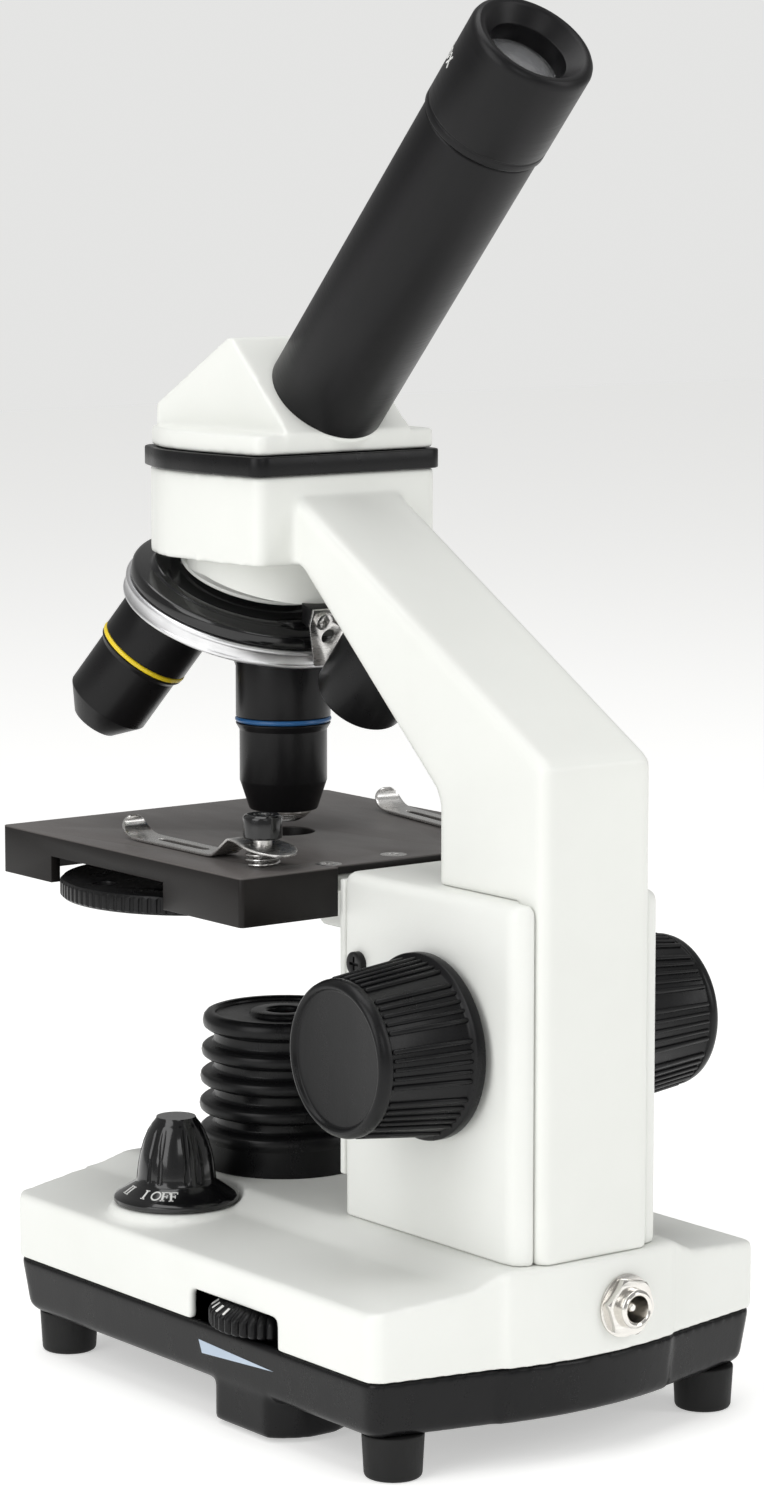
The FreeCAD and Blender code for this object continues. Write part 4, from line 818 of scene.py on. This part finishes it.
def glyph(letter, tall, depth):
    stem, hair = 0.17 * tall, 0.08 * tall
    half = tall / 2
    if letter == "O":
        return ringLetter(0.86 * tall, tall, 0.13 * tall, depth)
    if letter == "0":
        return ringLetter(0.62 * tall, tall, 0.12 * tall, depth)
    if letter == "X":
        return bars([(-0.3 * tall, -half, 0.3 * tall, half, stem * 0.8),
                     (-0.3 * tall, half, 0.3 * tall, -half, stem * 0.8)], depth)
    if letter == "1":
        return bars([(0, -half, 0, half, stem * 0.8), (-0.2 * tall, half * 0.62, 0, half * 0.9, stem * 0.6)], depth)
    strokes = [(0, -half, 0, half, stem), (-0.2 * tall, -half + hair / 2, 0.2 * tall, -half + hair / 2, hair)]
    if letter == "I":
        strokes.append((-0.2 * tall, half - hair / 2, 0.2 * tall, half - hair / 2, hair))
    if letter == "F":
        strokes = [(-0.18 * tall, -half, -0.18 * tall, half, stem),
                   (-0.36 * tall, -half + hair / 2, 0.02 * tall, -half + hair / 2, hair),
                   (-0.36 * tall, half - hair / 2, 0.34 * tall, half - hair / 2, hair),
                   (-0.1 * tall, 0, 0.16 * tall, 0, hair),
                   (0.32 * tall, half, 0.32 * tall, half * 0.55, hair),
                   (0.15 * tall, 0.16 * tall, 0.15 * tall, -0.16 * tall, hair)]
    return bars(strokes, depth)


whiteInk = mouldedPlastic("whiteInk", (0.78, 0.78, 0.76), (0.66, 0.66, 0.65), 0.5, 1500, 0.00001)
bluePaint = mouldedPlastic("paleBlueInk", (0.50, 0.58, 0.68), (0.44, 0.52, 0.62), 0.4, 1500, 0.00001)

dialSizes = {
    "seat": 39.2,
    "body": [(0, 5.2), (3.1, 5.2), (3.1, 2.2), (6.3, 2.2), (6.3, 0.0), (13.3, 0.0), (13.7, 0.3), (13.7, 1.0),
             (13.4, 1.4), (12.6, 1.9), (9.0, 4.2), (8.7, 4.7), (8.6, 6.0), (8.3, 8.4), (7.8, 11.0), (7.1, 13.4),
             (6.2, 15.6), (5.2, 17.2), (4.5, 18.1), (4.3, 18.6), (0, 18.6)],
    "letterBand": [(12.6, 1.9), (9.0, 4.2)],  # foot and top of the sloping skirt that carries the letters
    "stem": [(0, -10.2), (2.5, -10.2), (2.5, 6.0), (0, 6.0)],
    "flutePairs": 6,
    "fluteRadius": 0.85,
    "fluteHalfTurn": 9.5,  # degrees either side of a pair's middle
    "flutePath": [(9.05, 5.6), (8.55, 10.6), (6.1, 17.4)],
    "letterHeight": 2.7,
    "letterDepth": 0.16,
    "letters": [("I", -17.0), ("I", -10.5), ("I", 17.0), ("O", 31.5), ("F", 42.5), ("F", 52.0)],
}


def makeSwitchDial():
    seat = Vector((dialPlace.x, dialPlace.y, dialSizes["seat"] * mm))
    knob = turnedPiece("switchDial", dialSizes["body"], Vector((0, 0, 0)), (0, 0, 1), 96, 0)
    cutters = []
    for pair in range(dialSizes["flutePairs"]):
        for side in (-1, 1):
            turn = math.radians(360 / dialSizes["flutePairs"] * (pair + 0.35) + side * dialSizes["fluteHalfTurn"])
            out = Vector((math.cos(turn), math.sin(turn), 0))
            bends = [out * radius * mm + Vector((0, 0, height * mm)) for radius, height in dialSizes["flutePath"]]
            for low, high in zip(bends, bends[1:]):
                cutters.append(capsule("flute", dialSizes["fluteRadius"] * mm, low, high))
    cutAway(knob, joined("flutes", *cutters))
    softEdges(knob, 0.12 * mm, 2, 28)
    stem = turnedPiece("dialStem", dialSizes["stem"], Vector((0, 0, 0)), (0, 0, 1), 48, 0.1)
    knob = joined("switchDial", knob, stem)
    putAt(knob, seat, (0, 0, 1))
    smoothBy(knob, 35)
    standIn(knob, "switch_dial")
    (r0, h0), (r1, h1) = dialSizes["letterBand"]
    slope = math.atan2(h1 - h0, r0 - r1)
    strokes = []
    for letter, turn in dialSizes["letters"]:
        out = math.radians(turn)
        middle = Vector(((r0 + r1) / 2 * mm, 0, (h0 + h1) / 2 * mm))
        for stroke in glyph(letter, dialSizes["letterHeight"] * mm, dialSizes["letterDepth"] * mm):
            pickOnly(stroke)
            # the letter's height runs up the cone, its face looks away from the cone
            stroke.matrix_world = (Matrix.Translation(seat) @ Matrix.Rotation(out, 4, "Z")
                                   @ Matrix.Translation(middle) @ Matrix.Rotation(-slope, 4, "Y").inverted()
                                   @ Matrix.Rotation(math.radians(90), 4, "Z"))
            bpy.ops.object.transform_apply(location=True, rotation=True, scale=True)
            strokes.append(stroke)
    marks = joined("dialLetters", *strokes)
    place(marks, "lamp_switch", whiteInk, "black_gloss")
    print("dial ready")


makeCastings()
makeTurret()
makeNosepieceSeat()
makeObjectives()
makeLampHousing()
makeKnob(1, "focus_knob_left", "focusKnobLeft")
makeKnob(-1, "focus_knob_right", "focusKnobRight")
makeBrightnessWheel()
finishes["tube"] = turnedMetal("anodisedTube", (0.0045, 0.0045, 0.005), (0.007, 0.0065, 0.0075), 0.34, *tubeFoot(),
                               metallic=0.0, shine=0.22)
makeEyepiece()
makeSwitchDial()


capText = {
    "letters": [("1", -47.0), ("0", -38.0), ("X", -27.5)],  # degrees round the cap
    "height": 2.9,
    "depth": 0.16,
    "along": 91.0,
    "radius": 13.66,
}


def makeCapText():
    foot, up = tubeFoot()
    side = Vector((1, 0, 0))
    rear = up.cross(side)
    strokes = []
    for letter, turn in capText["letters"]:
        angle = math.radians(turn)
        out = side * math.cos(angle) + rear * math.sin(angle)
        along = rear * math.cos(angle) - side * math.sin(angle)
        spot = foot + up * capText["along"] * mm + out * capText["radius"] * mm
        for stroke in glyph(letter, capText["height"] * mm, capText["depth"] * mm):
            pickOnly(stroke)
            facing = Matrix((along, up, out)).transposed().to_4x4()
            stroke.matrix_world = Matrix.Translation(spot) @ facing
            bpy.ops.object.transform_apply(location=True, rotation=True, scale=True)
            strokes.append(stroke)
    place(joined("capPowerMark", *strokes), "eyepiece", whiteInk, "black_metal")


def slab(name, corners, thickness, spot):  # a flat shape given a thickness
    dropAll()
    bpy.ops.mesh.primitive_circle_add(vertices=len(corners), radius=mm, fill_type="NGON")
    obj = named(name)
    for vertex, (x, y, z) in zip(obj.data.vertices, corners):
        vertex.co = Vector((x, y, z)) * mm + spot
    bpy.ops.object.mode_set(mode="EDIT")
    bpy.ops.mesh.select_all(action="SELECT")
    bpy.ops.mesh.extrude_region_move(TRANSFORM_OT_translate={"value": [c * mm for c in thickness]})
    bpy.ops.mesh.select_all(action="SELECT")
    bpy.ops.mesh.normals_make_consistent(inside=False)
    bpy.ops.object.mode_set(mode="OBJECT")
    return obj


panMark = {
    "corners": [(38.9, 17.6), (39.6, 14.7), (65.6, 16.5)],  # along the base, height
    "seam": 21.5,
    "side": 51.0,
    "fall": 0.1215,  # how fast the pan's side draws in below the seam
    "buried": 0.1,
    "proud": 0.08,
}


def makeMarks():
    side = panMark["side"] - panMark["buried"]
    corners = [(side - (panMark["seam"] - z) * panMark["fall"], y, z) for y, z in panMark["corners"]]
    thickness = panMark["buried"] + panMark["proud"]
    wedge = slab("brightnessWedge", corners, (thickness, 0, 0), Vector((0, opticalPlace.y, 0)))
    place(wedge, "frame", bluePaint, "black_plastic")
    strokes = []
    for turn, half in wheelSizes["marks"]:
        angle = math.radians(turn)
        out = Vector((math.cos(angle), math.sin(angle), 0))
        across = Vector((-out.y, out.x, 0)) * half
        tip, base = (out * radius + Vector((0, 0, height))
                     for radius, height in (wheelSizes["markOuter"], wheelSizes["markInner"]))
        corners = [tuple(base - across), tuple(tip - across), tuple(tip + across), tuple(base + across)]
        strokes.append(slab("wheelMark", corners, (0, 0, wheelSizes["markProud"]), wheelFoot()))
    place(joined("wheelMarks", *strokes), "dimmer", whiteInk, "black_plastic")
    print("marks ready")


clipSizes = {
    "posts": {"left": (1, 0.0), "right": (-1, -8.2)},  # side of the stage, turn in degrees
    "x": 31.2,
    "y": 35.7,
    "hole": 2.06,
    "holeHeight": 121.0,
    "holeDepth": 20.0,
    "thickness": 0.55,
    "lanes": (-1.0, -0.62, -0.31, 0.0, 0.31, 0.62, 1.0),  # shares of the half width
    # distance from the post, height of the underside, half width
    "run": [(8.8, 119.95, 0.7), (8.5, 120.05, 2.2), (7.6, 120.25, 3.6), (6.2, 120.5, 4.6), (4.4, 120.8, 5.3),
            (2.2, 121.1, 5.5), (0.0, 121.35, 5.3), (-2.0, 121.5, 4.8), (-3.8, 121.68, 4.2), (-6.0, 121.82, 3.7),
            (-7.6, 121.86, 3.5), (-8.6, 121.6, 3.45), (-9.4, 121.0, 3.4), (-13.6, 117.95, 3.35),
            (-14.4, 117.6, 3.35), (-15.4, 117.47, 3.4), (-18.0, 117.45, 3.5), (-20.0, 117.45, 3.5),
            (-26.0, 117.45, 3.5), (-33.0, 117.45, 3.5), (-39.0, 117.45, 3.5), (-42.0, 117.45, 3.5),
            (-44.0, 117.5, 3.5), (-45.4, 117.7, 3.45), (-46.6, 118.15, 3.4), (-47.6, 118.8, 3.3),
            (-48.3, 119.6, 3.1), (-48.6, 120.4, 2.7), (-48.5, 121.0, 2.0), (-48.3, 121.4, 1.0)],
    "slot": (-39.5, -19.5, 1.1),  # two ends, half width
}


def makeClips():
    run, shares = clipSizes["run"], clipSizes["lanes"]
    lanes = len(shares) - 1
    for side, (sign, turn) in clipSizes["posts"].items():
        dropAll()
        bpy.ops.mesh.primitive_grid_add(x_subdivisions=lanes, y_subdivisions=len(run) - 1, size=1)
        leaf = named("clipLeaf" + side.capitalize())
        for vertex in leaf.data.vertices:
            lane = round((vertex.co.x + 0.5) * lanes)
            station = round((0.5 - vertex.co.y) * (len(run) - 1))
            along, height, half = run[station]
            vertex.co = Vector((shares[lane] * half, along, height)) * mm
        first, last, half = clipSizes["slot"]
        bpy.ops.object.mode_set(mode="EDIT")
        bpy.ops.mesh.select_mode(type="FACE")
        bpy.ops.mesh.select_all(action="DESELECT")
        bpy.ops.object.mode_set(mode="OBJECT")
        for face in leaf.data.polygons:
            middle = face.center / mm
            face.select = first < middle.y < last and abs(middle.x) < half
        bpy.ops.object.mode_set(mode="EDIT")
        bpy.ops.mesh.delete(type="FACE")
        bpy.ops.mesh.select_all(action="SELECT")
        bpy.ops.mesh.normals_make_consistent(inside=False)
        bpy.ops.mesh.select_mode(type="VERT")
        bpy.ops.object.mode_set(mode="OBJECT")
        addModifier(leaf, "SUBSURF", levels=1, render_levels=1)
        upwards = 1.0 if leaf.data.polygons[0].normal.z > 0 else -1.0
        addModifier(leaf, "SOLIDIFY", thickness=clipSizes["thickness"] * mm, offset=upwards)
        applyModifiers(leaf)
        dropAll()
        bpy.ops.mesh.primitive_cylinder_add(vertices=48, radius=clipSizes["hole"] * mm,
                                            depth=clipSizes["holeDepth"] * mm,
                                            location=(0, 0, clipSizes["holeHeight"] * mm))
        cutAway(leaf, named("postHole"))
        softEdges(leaf, 0.1 * mm, 2, 40)
        post = Vector((sign * clipSizes["x"] * mm, opticalPlace.y + clipSizes["y"] * mm, 0))
        putAt(leaf, post, (0, 0, 1), math.radians(turn))
        smoothBy(leaf, 40)
        standIn(leaf, "clip_leaf_" + side)
    print("clips ready")


makeCapText()
makeMarks()
makeClips()
